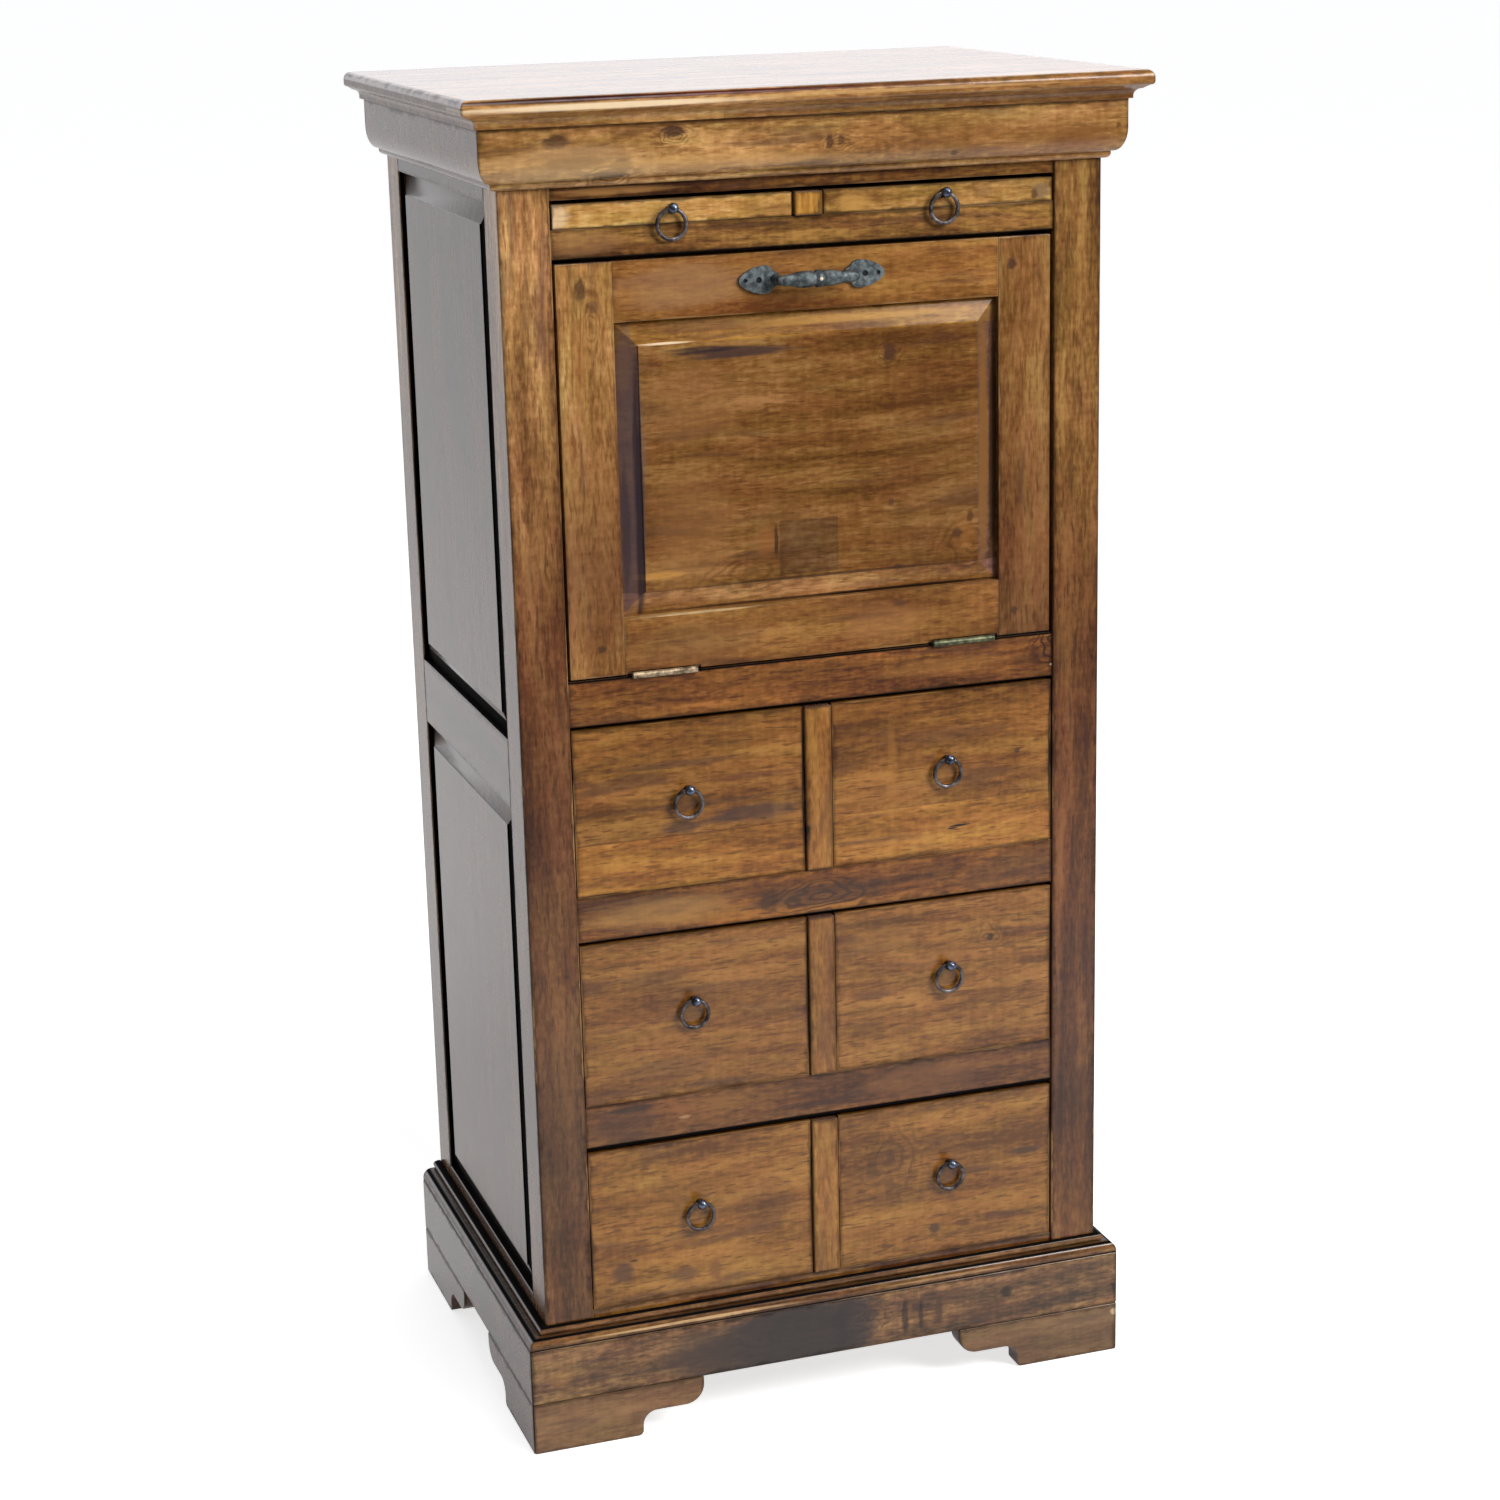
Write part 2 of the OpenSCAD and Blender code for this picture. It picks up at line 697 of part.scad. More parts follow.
module fall_panel()
    color("chocolate") translate([0, y_face, z_fall_mid])
        raised_panel(fall_open_half_w, fall_open_half_h, fall_field_proud, fall_t);

// Half of a butt hinge: its half of the barrel, and a leaf that clears the other half
module hinge_leaf(own, other, z) {
    leaf_end = pivot_y + leaf_w;
    for (x = [-hinge_x, hinge_x]) translate([x, 0, 0]) union() {
        translate([own[0], pivot_y, pivot_z]) rotate([0, 90, 0]) cylinder(r = knuckle_r, h = own[1] - own[0]);
        block(own, [pivot_y, leaf_end], z);
        block([min(own[0], other[0]), max(own[1], other[1])], [pivot_y + knuckle_r + 0.5, leaf_end], z);
    }
}

left_half = [-hinge_len / 2, -joint_gap / 2];
right_half = [joint_gap / 2, hinge_len / 2];

// The cabinet's leaves keep their pins, which run on through the fall's half
module cabinet_hinge_leaves()
    color("darkgoldenrod") union() {
        difference() {
            hinge_leaf(left_half, right_half, [pivot_z - leaf_gap - leaf_t, pivot_z - leaf_gap]);
            // nothing of the leaf reaches into the other half of the barrel
            for (x = [-hinge_x, hinge_x])
                block([x, x + hinge_len / 2 + 1], [pivot_y - 4, pivot_y + knuckle_r + 0.4],
                      [pivot_z - 4, pivot_z + 4]);
        }
        for (x = [-hinge_x, hinge_x]) translate([x - 1, pivot_y, pivot_z]) rotate([0, 90, 0])
            cylinder(r = pin_r, h = hinge_len / 2 + 1);
    }

module fall_hinge_leaves()
    color("darkgoldenrod") difference() {
        hinge_leaf(right_half, left_half, [pivot_z + leaf_gap, pivot_z + leaf_gap + leaf_t]);
        for (x = [-hinge_x, hinge_x]) translate([x - 1, pivot_y, pivot_z]) rotate([0, 90, 0])
            cylinder(r = pin_r + pin_play, h = hinge_len / 2 + 2);
    }

// A slice of a flat ring about the hinge pin, on the left: angles from upright towards the back
module arc_strip(mid_r, half_w, x, from, to)
    translate([x[0], pivot_y, pivot_z]) rotate([90, 0, 90]) linear_extrude(x[1] - x[0])
        difference() {
            intersection() {
                circle(r = mid_r + half_w, $fn = 180);
                polygon(concat([[0, 0]], [for (i = [0 : 8]) let (a = 90 - from - (to - from) * i / 8)
                                          2 * mid_r * [cos(a), sin(a)]]));
            }
            circle(r = mid_r - half_w, $fn = 180);
        }

stay_foot_w = 16;
stay_foot_h = 40;
stay_foot_t = 2.5;
module fall_stays()
    color("darkgoldenrod") both_sides() union() {
        x = [-stay_x - stay_t / 2, -stay_x + stay_t / 2];
        foot_z = pivot_z + stay_r * cos(stay_start);
        arc_strip(stay_r, stay_w / 2, x, stay_start, stop_a + 1);
        arc_strip(stay_r, stay_w, x, stop_a, stop_a + 2 * stop_half);
        block([x[0], x[0] + stay_foot_w], [y_fall_in, y_fall_in + stay_foot_t],
              [foot_z - stay_foot_h / 2, foot_z + stay_foot_h / 2]);
    }

// A brass eye on each front post that the stay slides through
module stay_guides()
    color("darkgoldenrod") both_sides() difference() {
        arc_strip(stay_r, stay_w / 2 + guide_rim, [-x_open, -stay_x + stay_t / 2 + guide_rim],
                  guide_a - guide_half, guide_a + guide_half);
        arc_strip(stay_r, stay_w / 2 + 0.6, [-stay_x - stay_t / 2 - 0.6, -stay_x + stay_t / 2 + 0.6],
                  guide_a - 3 * guide_half, guide_a + 3 * guide_half);
    }

// Handle

grip_half = handle_len / 2 - plate_len;
neck_r = 0.6 * grip_r;
// Half the outline of a spade-shaped plate, in shares of its length from the tip and of half its width
spade = [[0, 0], [0.03, 0.25], [0.16, 0.56], [0.37, 0.84], [0.58, 0.98], [0.76, 1], [0.87, 0.87], [0.94, 0.6],
         [1.08, 0.4]];
function plate_side(up) =
    [for (q = spade) [-handle_len / 2 + q[0] * plate_len, up * q[1] * plate_w / 2]];
function plate_outline() =
    let (low = plate_side(-1)) concat(plate_side(1), [for (i = [len(low) - 1 : -1 : 1]) low[i]]);
// The turned grip, in shares of its length from the left and of its greatest radius
grip_turning = [[0, 0.62], [0.1, 0.7], [0.19, 0.8], [0.2, 0.9], [0.32, 1], [0.42, 0.95], [0.44, 0.8],
                [0.46, 0.8], [0.47, 1.04], [0.54, 1.04], [0.55, 0.8], [0.57, 0.8], [0.58, 0.95], [0.7, 0.95],
                [0.72, 0.86], [0.74, 0.8], [0.86, 0.7], [1, 0.62]];
// Screws: share of the plate's length from its tip, and share of half its width
screw_spots = [[0.18, 0.12], [0.55, 0.19]];
function screw_x(s) = -handle_len / 2 + s[0] * plate_len;
function screw_r(s) = s[1] * plate_w / 2;

module handle_plate()
    difference() {
        rotate([90, 0, 0]) linear_extrude(plate_t) polygon(plate_outline());
        for (s = screw_spots) translate([screw_x(s), 1, 0]) rotate([90, 0, 0])
            cylinder(r = screw_r(s) + fit, h = plate_t + 2, $fn = 24);
    }

module fall_handle()
    translate([handle_x, y_face, z_fall_low + fall_h - handle_drop]) {
        color("dimgray") union() {
            both_sides() {
                handle_plate();
                translate([-grip_half, 0, 0]) rotate([90, 0, 0]) cylinder(r = neck_r, h = handle_out);
                translate([-grip_half, -handle_out, 0]) sphere(r = neck_r);
            }
            translate([-grip_half, -handle_out, 0]) rotate([0, 90, 0]) rotate_extrude()
                polygon(concat([[0, 0]], [for (q = grip_turning) [q[1] * grip_r, q[0] * 2 * grip_half]],
                               [[0, 2 * grip_half]]));
        }
        // screws, their heads a little below the plate's face
        color("dimgray") both_sides() for (s = screw_spots) translate([screw_x(s), 0, 0])
            rotate([90, 0, 0]) cylinder(r = screw_r(s), h = 0.7 * plate_t, $fn = 24);
    }

// Ring pulls

ball_out = ring_out + ball_gap + ball_r;

nut_r = 4;
nut_t = 3;
// A pull with its shank, its ball, and an eye behind the ball; back is how far it reaches into the wood
module pull(s, z, back, nut)
    color("dimgray") translate([s == 0 ? pull_x : -pull_x, y_face, z]) mirror([1, 0, 0]) difference() {
        union() {
            rotate([90, 0, 0]) cylinder(r = collar_r, h = ring_out);
            translate([-eye_len / 2, -ring_out, 0]) rotate([0, 90, 0])
                cylinder(r = wire_r + eye_play + eye_wall, h = eye_len);
            translate([0, -ball_out, ball_rise]) sphere(r = ball_r);
            translate([0, back, 0]) rotate([90, 0, 0]) cylinder(r = shank_r, h = back + 1);
            if (nut) translate([0, front_t + joint_gap + nut_t, 0]) rotate([90, 0, 0])
                cylinder(r = nut_r, h = nut_t, $fn = 6);
        }
        translate([-ball_r - 1, -ring_out, 0]) rotate([0, 90, 0])
            cylinder(r = wire_r + eye_play, h = 2 * ball_r + 2);
    }

module shank_hole(x, z, back)
    translate([x, y_face + back + fit, z]) rotate([90, 0, 0]) cylinder(r = shank_r + fit, h = back + 2);

module pull_ring(x, z)
    color("dimgray") translate([x, y_face - ring_out, z - ring_r]) rotate([90, 0, 0])
        rotate_extrude($fn = 64) translate([ring_r, 0]) circle(r = wire_r, $fn = 32);

// Drawers, drawn for the left bay with their floor at z

pull_x = -(bay_x + pull_shift);
shank_back = front_t + 5;
front_half = bay_w / 2 - drawer_gap;
box_half = front_half - 0.5;
y_box = y_face + front_t;
z_box_floor = run_gap + bottom_rise;
function drawer_pull_z(r) = row_z(r) + drawer_open_h / 2 + pull_rise;

// The bottom board with its edges in the grooves, grown by a clearance
module drawer_bottom(z, grow) {
    half = box_half - side_t + 5 + grow;
    block([-bay_x - half, -bay_x + half], [y_box - 6 - grow, y_box + drawer_len + grow],
          [z + z_box_floor - grow, z + z_box_floor + bottom_t + grow]);
}

module drawer_front(r, s) {
    z = row_z(r);
    color("peru") on_side(s) difference() {
        block([-bay_x - front_half, -bay_x + front_half], [y_face, y_box],
              [z + run_gap, z + drawer_open_h - drawer_top_gap]);
        drawer_bottom(z, fit);
        shank_hole(pull_x, drawer_pull_z(r), shank_back);
    }
}

module drawer_box(r, s) {
    z = row_z(r);
    z_sides = [z + run_gap, z + run_gap + side_h];
    inner = box_half - side_t - joint_gap;
    color("burlywood") on_side(s) {
        for (side = [-1, 1]) difference() {
            translate([-bay_x + side * (box_half - side_t / 2), 0, 0])
                block([-side_t / 2, side_t / 2], [y_box, y_box + drawer_len], z_sides);
            drawer_bottom(z, fit);
        }
        block([-bay_x - inner, -bay_x + inner], [y_box + drawer_len - side_t, y_box + drawer_len],
              [z + z_box_floor + bottom_t + joint_gap, z_sides[1]]);
        drawer_bottom(z, 0);
    }
}

module drawer_pull(r, s)
    pull(s, drawer_pull_z(r), shank_back, true);

module drawer_ring(r, s)
    on_side(s) pull_ring(pull_x, drawer_pull_z(r));

// Slides

slide_pull_z = z_slide + run_gap + slide_t / 2 + slide_pull_rise;
slide_half = bay_w / 2 - slide_gap;
slide_shank = 14;

module slide_board(s)
    color("goldenrod") on_side(s) difference() {
        union() {
            block([-bay_x - slide_half, -bay_x + slide_half], [y_face, y_face + slide_edge],
                  [z_slide + run_gap, slide_top]);
            block([-bay_x - slide_half, -bay_x + slide_half],
                  [y_face + slide_edge + joint_gap, y_face + slide_len], [z_slide + run_gap, slide_top]);
        }
        shank_hole(pull_x, slide_pull_z, slide_shank);
    }

module slide_pull(s)
    pull(s, slide_pull_z, slide_shank, false);

module slide_ring(s)
    on_side(s) pull_ring(pull_x, slide_pull_z);

top_board();
cornice();
front_posts();
back_posts();
side_rails();
side_panels();
front_rails();
muntins();
centre_partition();
slide_guides();
drawer_runners();
desk_floor();
desk_ceiling();
floor_cleats();
back_rails();
back_panel();
bottom_board();
pigeonholes();
plinth_boards();
base_moulding();
front_feet();
back_feet();
cabinet_hinge_leaves();
stay_guides();
fall_stiles();
fall_rails();
fall_panel();
fall_handle();
fall_hinge_leaves();
fall_stays();
for (r = [0 : 2], s = [0 : 1]) {
    drawer_front(r, s);
    drawer_box(r, s);
    drawer_pull(r, s);
    drawer_ring(r, s);
}
for (s = [0 : 1]) {
    slide_board(s);
    slide_pull(s);
    slide_ring(s);
}
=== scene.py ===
import json
import math

import bmesh
import bpy
from mathutils import Matrix, Vector

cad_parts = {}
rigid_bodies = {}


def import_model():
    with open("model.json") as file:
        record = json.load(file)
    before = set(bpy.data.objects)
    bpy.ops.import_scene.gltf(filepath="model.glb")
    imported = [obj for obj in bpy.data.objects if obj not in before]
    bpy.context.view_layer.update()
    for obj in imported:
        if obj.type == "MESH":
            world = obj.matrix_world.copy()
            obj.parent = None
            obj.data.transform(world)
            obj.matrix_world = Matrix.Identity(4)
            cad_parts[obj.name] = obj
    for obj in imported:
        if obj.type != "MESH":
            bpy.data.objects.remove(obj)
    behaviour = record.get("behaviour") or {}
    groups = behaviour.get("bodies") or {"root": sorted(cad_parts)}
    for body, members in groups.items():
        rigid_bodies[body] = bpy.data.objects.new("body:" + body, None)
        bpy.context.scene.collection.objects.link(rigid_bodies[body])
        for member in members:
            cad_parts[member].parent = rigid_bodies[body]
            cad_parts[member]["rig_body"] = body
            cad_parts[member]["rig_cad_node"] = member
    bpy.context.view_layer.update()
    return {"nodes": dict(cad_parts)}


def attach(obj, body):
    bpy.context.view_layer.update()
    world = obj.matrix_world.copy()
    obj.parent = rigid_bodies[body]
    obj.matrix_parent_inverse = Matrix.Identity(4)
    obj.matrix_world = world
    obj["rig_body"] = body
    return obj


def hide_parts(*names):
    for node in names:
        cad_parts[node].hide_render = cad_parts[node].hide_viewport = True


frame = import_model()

scene = bpy.context.scene
scene.view_settings.view_transform = "Standard"


# Camera: the eye of someone standing a little to the left of the desk, nearly three metres
# in front of it, through a long lens.
eye = (-0.9077, -2.7046, 1.3793)
camera_data = bpy.data.cameras.new("camera")
camera_data.sensor_width = 36.0
camera_data.lens = 75.32
camera_data.clip_end = 200.0
camera = bpy.data.objects.new("camera", camera_data)
scene.collection.objects.link(camera)
look = Vector((0.30656, 0.91271, -0.27016)).normalized()
right = Vector((0.94563, -0.32442, -0.02299)).normalized()
up = right.cross(look)
camera.matrix_world = Matrix((
    (right.x, up.x, -look.x, eye[0]),
    (right.y, up.y, -look.y, eye[1]),
    (right.z, up.z, -look.z, eye[2]),
    (0, 0, 0, 1)))
scene.camera = camera


# Floor: a plain pale floor under and behind the desk, a darker one in front of it.
# It keeps the desk's soft shadow, and looks white from where the camera stands.

class Bench:
    """Short ways to set nodes out on one tree."""

    def __init__(self, tree):
        self.tree = tree

    def node(self, kind, **settings):
        made = self.tree.nodes.new("ShaderNode" + kind)
        for key, value in settings.items():
            setattr(made, key, value)
        return made

    def put(self, value, socket):
        if isinstance(value, bpy.types.NodeSocket):
            self.tree.links.new(value, socket)
        else:
            socket.default_value = value

    def math(self, operation, a, b=0.0):
        made = self.node("Math", operation=operation)
        self.put(a, made.inputs[0])
        self.put(b, made.inputs[1])
        return made.outputs[0]

    def vector(self, operation, a, b=(0, 0, 0), out="Vector"):
        made = self.node("VectorMath", operation=operation)
        self.put(a, made.inputs[0])
        self.put(b, made.inputs[1])
        return made.outputs[out]

    def noise(self, vector, detail=2.0, roughness=0.5, scale=1.0):
        made = self.node("TexNoise", noise_dimensions="3D")
        self.put(vector, made.inputs["Vector"])
        self.put(scale, made.inputs["Scale"])
        self.put(detail, made.inputs["Detail"])
        self.put(roughness, made.inputs["Roughness"])
        return made.outputs["Fac"]

    def range(self, value, low, high, to_low=0.0, to_high=1.0, kind="SMOOTHSTEP"):
        made = self.node("MapRange", interpolation_type=kind)
        for socket, number in (("Value", value), ("From Min", low), ("From Max", high),
                               ("To Min", to_low), ("To Max", to_high)):
            self.put(number, made.inputs[socket])
        return made.outputs[0]

    def mix(self, factor, a, b, blend="MIX"):
        made = self.node("Mix", data_type="RGBA", blend_type=blend)
        self.put(factor, made.inputs["Factor"])
        self.put(a, made.inputs["A"])
        self.put(b, made.inputs["B"])
        return made.outputs["Result"]


near_grey, far_grey = 0.16, 0.84
floor_mat = bpy.data.materials.new("pale_floor")
floor_mat.use_nodes = True
floor_mat.node_tree.nodes.clear()
b = Bench(floor_mat.node_tree)
place = b.node("TexCoord")
apart = b.node("SeparateXYZ")
b.put(place.outputs["Object"], apart.inputs[0])
grey = b.range(apart.outputs["Y"], -2.6, -0.9, near_grey, far_grey)
own = b.node("CombineColor")
for channel in ("Red", "Green", "Blue"):
    b.put(grey, own.inputs[channel])
ray = b.node("LightPath")
paper = b.node("BsdfDiffuse")
plain = (far_grey, far_grey, far_grey, 1)
b.put(b.mix(ray.outputs["Is Camera Ray"], own.outputs[0], plain), paper.inputs["Color"])
camera_white_and_painted_glint = b.node("Emission")
seen = b.math("MULTIPLY", ray.outputs["Is Camera Ray"], 0.72)
# The floor behind the desk also glows for glossy rays only: a painted reflection that brightens the desk's sides.
painted_floor_glint = b.math("MULTIPLY", ray.outputs["Is Glossy Ray"], b.range(apart.outputs["Y"], -0.9, 0.5, 0.0, 0.45))
b.put(b.math("ADD", seen, painted_floor_glint), camera_white_and_painted_glint.inputs["Strength"])
both = b.node("AddShader")
b.put(paper.outputs[0], both.inputs[0])
b.put(camera_white_and_painted_glint.outputs[0], both.inputs[1])
b.put(both.outputs[0], b.node("OutputMaterial").inputs[0])

bpy.ops.object.select_all(action="DESELECT")
bpy.ops.mesh.primitive_plane_add(size=160.0, location=(0, 0, -0.0002))
floor = bpy.context.active_object
floor.name = "floor"
floor.data.materials.append(floor_mat)


# Light: a bright wall behind the desk, a dim room in front of it, and one large soft lamp
# high at the right.
world = bpy.data.worlds.new("studio")
scene.world = world
world.use_nodes = True
world.node_tree.nodes.clear()
b = Bench(world.node_tree)
place = b.node("TexCoord")
apart = b.node("SeparateXYZ")
b.put(place.outputs["Generated"], apart.inputs[0])
air = b.node("Background")
air.inputs["Color"].default_value = (1.0, 1.01, 1.06, 1)
dim_room, bright_wall = 0.1, 1.48
b.put(b.range(apart.outputs["Y"], 0.3, 0.85, dim_room, bright_wall), air.inputs["Strength"])
white = b.node("Background")
white.inputs["Color"].default_value = (1, 1, 1, 1)
ray = b.node("LightPath")
pick = b.node("MixShader")
b.put(ray.outputs["Is Camera Ray"], pick.inputs[0])
b.put(air.outputs[0], pick.inputs[1])
b.put(white.outputs[0], pick.inputs[2])
b.put(pick.outputs[0], b.node("OutputWorld").inputs[0])


def soft_lamp(name, at, aim, size, watts, tint):
    data = bpy.data.lights.new(name, "AREA")
    data.shape = "DISK"
    data.size = size
    data.energy = watts
    data.color = tint
    lamp = bpy.data.objects.new(name, data)
    scene.collection.objects.link(lamp)
    lamp.location = at
    lamp.rotation_euler = (Vector(aim) - Vector(at)).to_track_quat("-Z", "Y").to_euler()


soft_lamp("key_lamp", (2.3, -2.6, 2.7), (0, 0, 0.7), 2.0, 168, (1.0, 0.97, 0.94))
soft_lamp("overhead_lamp", (0.2, -1.5, 3.3), (0, 0, 0.8), 1.4, 28, (1.0, 0.98, 0.96))


# Legs: four square posts of stained hardwood that run from the feet to the top.
# The side rails and the front rails are tenoned into them, and the side panels sit in their grooves.

def stain(r, g, b):
    """A stain's colour from 0 to 255, as a painter's chart gives it."""
    return tuple(c / 255 / 12.92 if c <= 10 else ((c / 255 + 0.055) / 1.055) ** 2.4 for c in (r, g, b)) + (1,)


def node_group(name, inputs, outputs):
    tree = bpy.data.node_groups.new(name, "ShaderNodeTree")
    for title, kind in inputs:
        tree.interface.new_socket(title, in_out="INPUT", socket_type="NodeSocket" + kind)
    for title, kind in outputs:
        tree.interface.new_socket(title, in_out="OUTPUT", socket_type="NodeSocket" + kind)
    bench = Bench(tree)
    return tree, bench, tree.nodes.new("NodeGroupInput").outputs, tree.nodes.new("NodeGroupOutput").inputs


# Grain, with X along the board: growth bands, violet streaks, clouds of stain, a fine mottle with
# ribs across it, short dark pores, and a drift from gold to red.
grain, b, given, made = node_group(
    "stained_grain",
    [("Vector", "Vector"), ("Seed", "Float"), ("Light", "Color"), ("Middle", "Color"), ("Dark", "Color"),
     ("Bands", "Float"), ("Clouds", "Float"), ("Pores", "Float"), ("Wander", "Float")],
    [("Color", "Color"), ("Height", "Float"), ("Roughness", "Float")])
shift = b.node("CombineXYZ")
for socket, factor in zip(shift.inputs, (1.37, 0.71, 2.13)):
    b.put(b.math("MULTIPLY", given["Seed"], factor), socket)
spot = b.vector("ADD", given["Vector"], shift.outputs[0])
sway = b.noise(b.vector("MULTIPLY", spot, (4.5, 9.0, 9.0)), 1.0)
sway = b.math("MULTIPLY", b.math("SUBTRACT", sway, 0.5), given["Wander"])
bend = b.node("CombineXYZ")
b.put(sway, bend.inputs[1])
b.put(sway, bend.inputs[2])
bent = b.vector("ADD", spot, bend.outputs[0])
bands = b.noise(b.vector("MULTIPLY", bent, (4.0, 50.0, 50.0)), 5.0, 0.66)
streaks = b.noise(b.vector("MULTIPLY", bent, (8.0, 62.0, 62.0)), 2.0, 0.6)
clouds = b.noise(b.vector("MULTIPLY", spot, (9.0, 16.0, 16.0)), 2.0, 0.5)
mottle = b.noise(b.vector("MULTIPLY", spot, (90.0, 290.0, 290.0)), 2.0, 0.6)
ribs = b.noise(b.vector("MULTIPLY", spot, (240.0, 50.0, 50.0)), 1.0)
pore = b.noise(b.vector("MULTIPLY", spot, (55.0, 430.0, 430.0)), 1.0)
drift = b.noise(b.vector("MULTIPLY", bent, (14.0, 70.0, 70.0)), 3.0, 0.6)
tone = b.math("MULTIPLY", b.math("SUBTRACT", bands, 0.5), b.math("MULTIPLY", given["Bands"], 3.6))
for part, weight in ((clouds, b.math("MULTIPLY", given["Clouds"], 1.5)), (mottle, 1.7), (ribs, 0.5)):
    tone = b.math("ADD", tone, b.math("MULTIPLY", b.math("SUBTRACT", part, 0.5), weight))
pores = b.range(b.math("SUBTRACT", pore, b.math("MULTIPLY", tone, 0.05)), 0.56, 0.7)
colour = b.mix(b.range(tone, -0.75, 0.0, kind="LINEAR"), given["Dark"], given["Middle"])
colour = b.mix(b.range(tone, 0.0, 0.8, kind="LINEAR"), colour, given["Light"])
redder, golder = (1.05, 0.96, 0.9, 1), (1.0, 1.03, 0.84, 1)
colour = b.mix(1.0, colour, b.mix(b.range(drift, 0.35, 0.65), redder, golder), "MULTIPLY")
streaked = b.math("MULTIPLY", b.range(streaks, 0.54, 0.72), b.math("MULTIPLY", given["Clouds"], 0.65))
colour = b.mix(streaked, colour, b.mix(0.5, given["Dark"], stain(58, 40, 44)))
b.put(b.mix(b.math("MULTIPLY", pores, given["Pores"]), colour, given["Dark"]), made["Color"])
b.put(b.math("SUBTRACT", b.math("MULTIPLY", mottle, 0.5), pores), made["Height"])
b.put(b.range(b.math("ADD", mottle, pores), 0.3, 1.4, 0.42, 0.6), made["Roughness"])

# Edge: how near a point lies to its own board's arrises, where the stain gathers and where painted shade darkens the
# gaps between parts.
# Rub and highlight: the stretches of those arrises that are painted pale, partly wear from handling and partly a
# painted highlight.
edge, b, given, made = node_group("board_edge", [("Reach", "Float")], [("Edge", "Float"), ("RubAndHighlight", "Float")])
place = b.node("TexCoord")
middle = b.node("Attribute", attribute_name="board_mid")
half = b.node("Attribute", attribute_name="board_half")
off = b.vector("ABSOLUTE", b.vector("SUBTRACT", place.outputs["Object"], middle.outputs["Vector"]))
left = b.node("SeparateXYZ")
b.put(b.vector("SUBTRACT", half.outputs["Vector"], off), left.inputs[0])
x, y, z = left.outputs
low = b.math("MINIMUM", b.math("MINIMUM", x, y), z)
high = b.math("MAXIMUM", b.math("MAXIMUM", x, y), z)
second = b.math("SUBTRACT", b.math("SUBTRACT", b.math("ADD", b.math("ADD", x, y), z), low), high)
ragged = b.noise(b.vector("MULTIPLY", place.outputs["Object"], (70.0, 70.0, 70.0)), 3.0)
far = b.math("MULTIPLY", second, b.range(ragged, 0.35, 0.65, 0.7, 1.8))
b.put(b.range(b.math("DIVIDE", far, given["Reach"]), 0.1, 1.0, 1.0, 0.0), made["Edge"])
stretch = b.noise(b.vector("MULTIPLY", place.outputs["Object"], (13.0, 13.0, 13.0)), 2.0)
b.put(b.math("MULTIPLY", b.range(far, 0.0006, 0.0018, 1.0, 0.0), b.range(stretch, 0.5, 0.6)), made["RubAndHighlight"])

# Spot: a ragged oval round one place, for a knot or a pool of stain, and also for painted highlights and painted
# shadow lines.
spot_mask, b, given, made = node_group(
    "oval_spot", [("Centre", "Vector"), ("Size", "Vector"), ("Ragged", "Float")], [("Spot", "Float")])
place = b.node("TexCoord")
off = b.vector("DIVIDE", b.vector("SUBTRACT", place.outputs["Object"], given["Centre"]), given["Size"])
ragged = b.noise(b.vector("ADD", b.vector("MULTIPLY", off, (0.8, 0.8, 1.3)), given["Centre"]), 4.0, 0.65, 1.6)
reach = b.vector("LENGTH", off, out="Value")
reach = b.math("ADD", reach, b.math("MULTIPLY", b.math("SUBTRACT", ragged, 0.5), given["Ragged"]))
b.put(b.range(reach, 0.45, 1.05, 1.0, 0.0), made["Spot"])

# Swirl: dark growth lines that bend round one place, fading outwards.
swirl_mask, b, given, made = node_group(
    "growth_swirl", [("Centre", "Vector"), ("Size", "Vector")], [("Lines", "Float")])
place = b.node("TexCoord")
off = b.vector("DIVIDE", b.vector("SUBTRACT", place.outputs["Object"], given["Centre"]), given["Size"])
warp = b.noise(b.vector("ADD", off, given["Centre"]), 2.0, 0.5, 1.4)
reach = b.vector("LENGTH", off, out="Value")
wave = b.math("SINE", b.math("MULTIPLY", b.math("ADD", reach, b.math("MULTIPLY", warp, 1.6)), 24.0))
b.put(b.math("MULTIPLY", b.range(wave, -0.2, 0.9), b.range(reach, 0.35, 1.0, 1.0, 0.0)), made["Lines"])


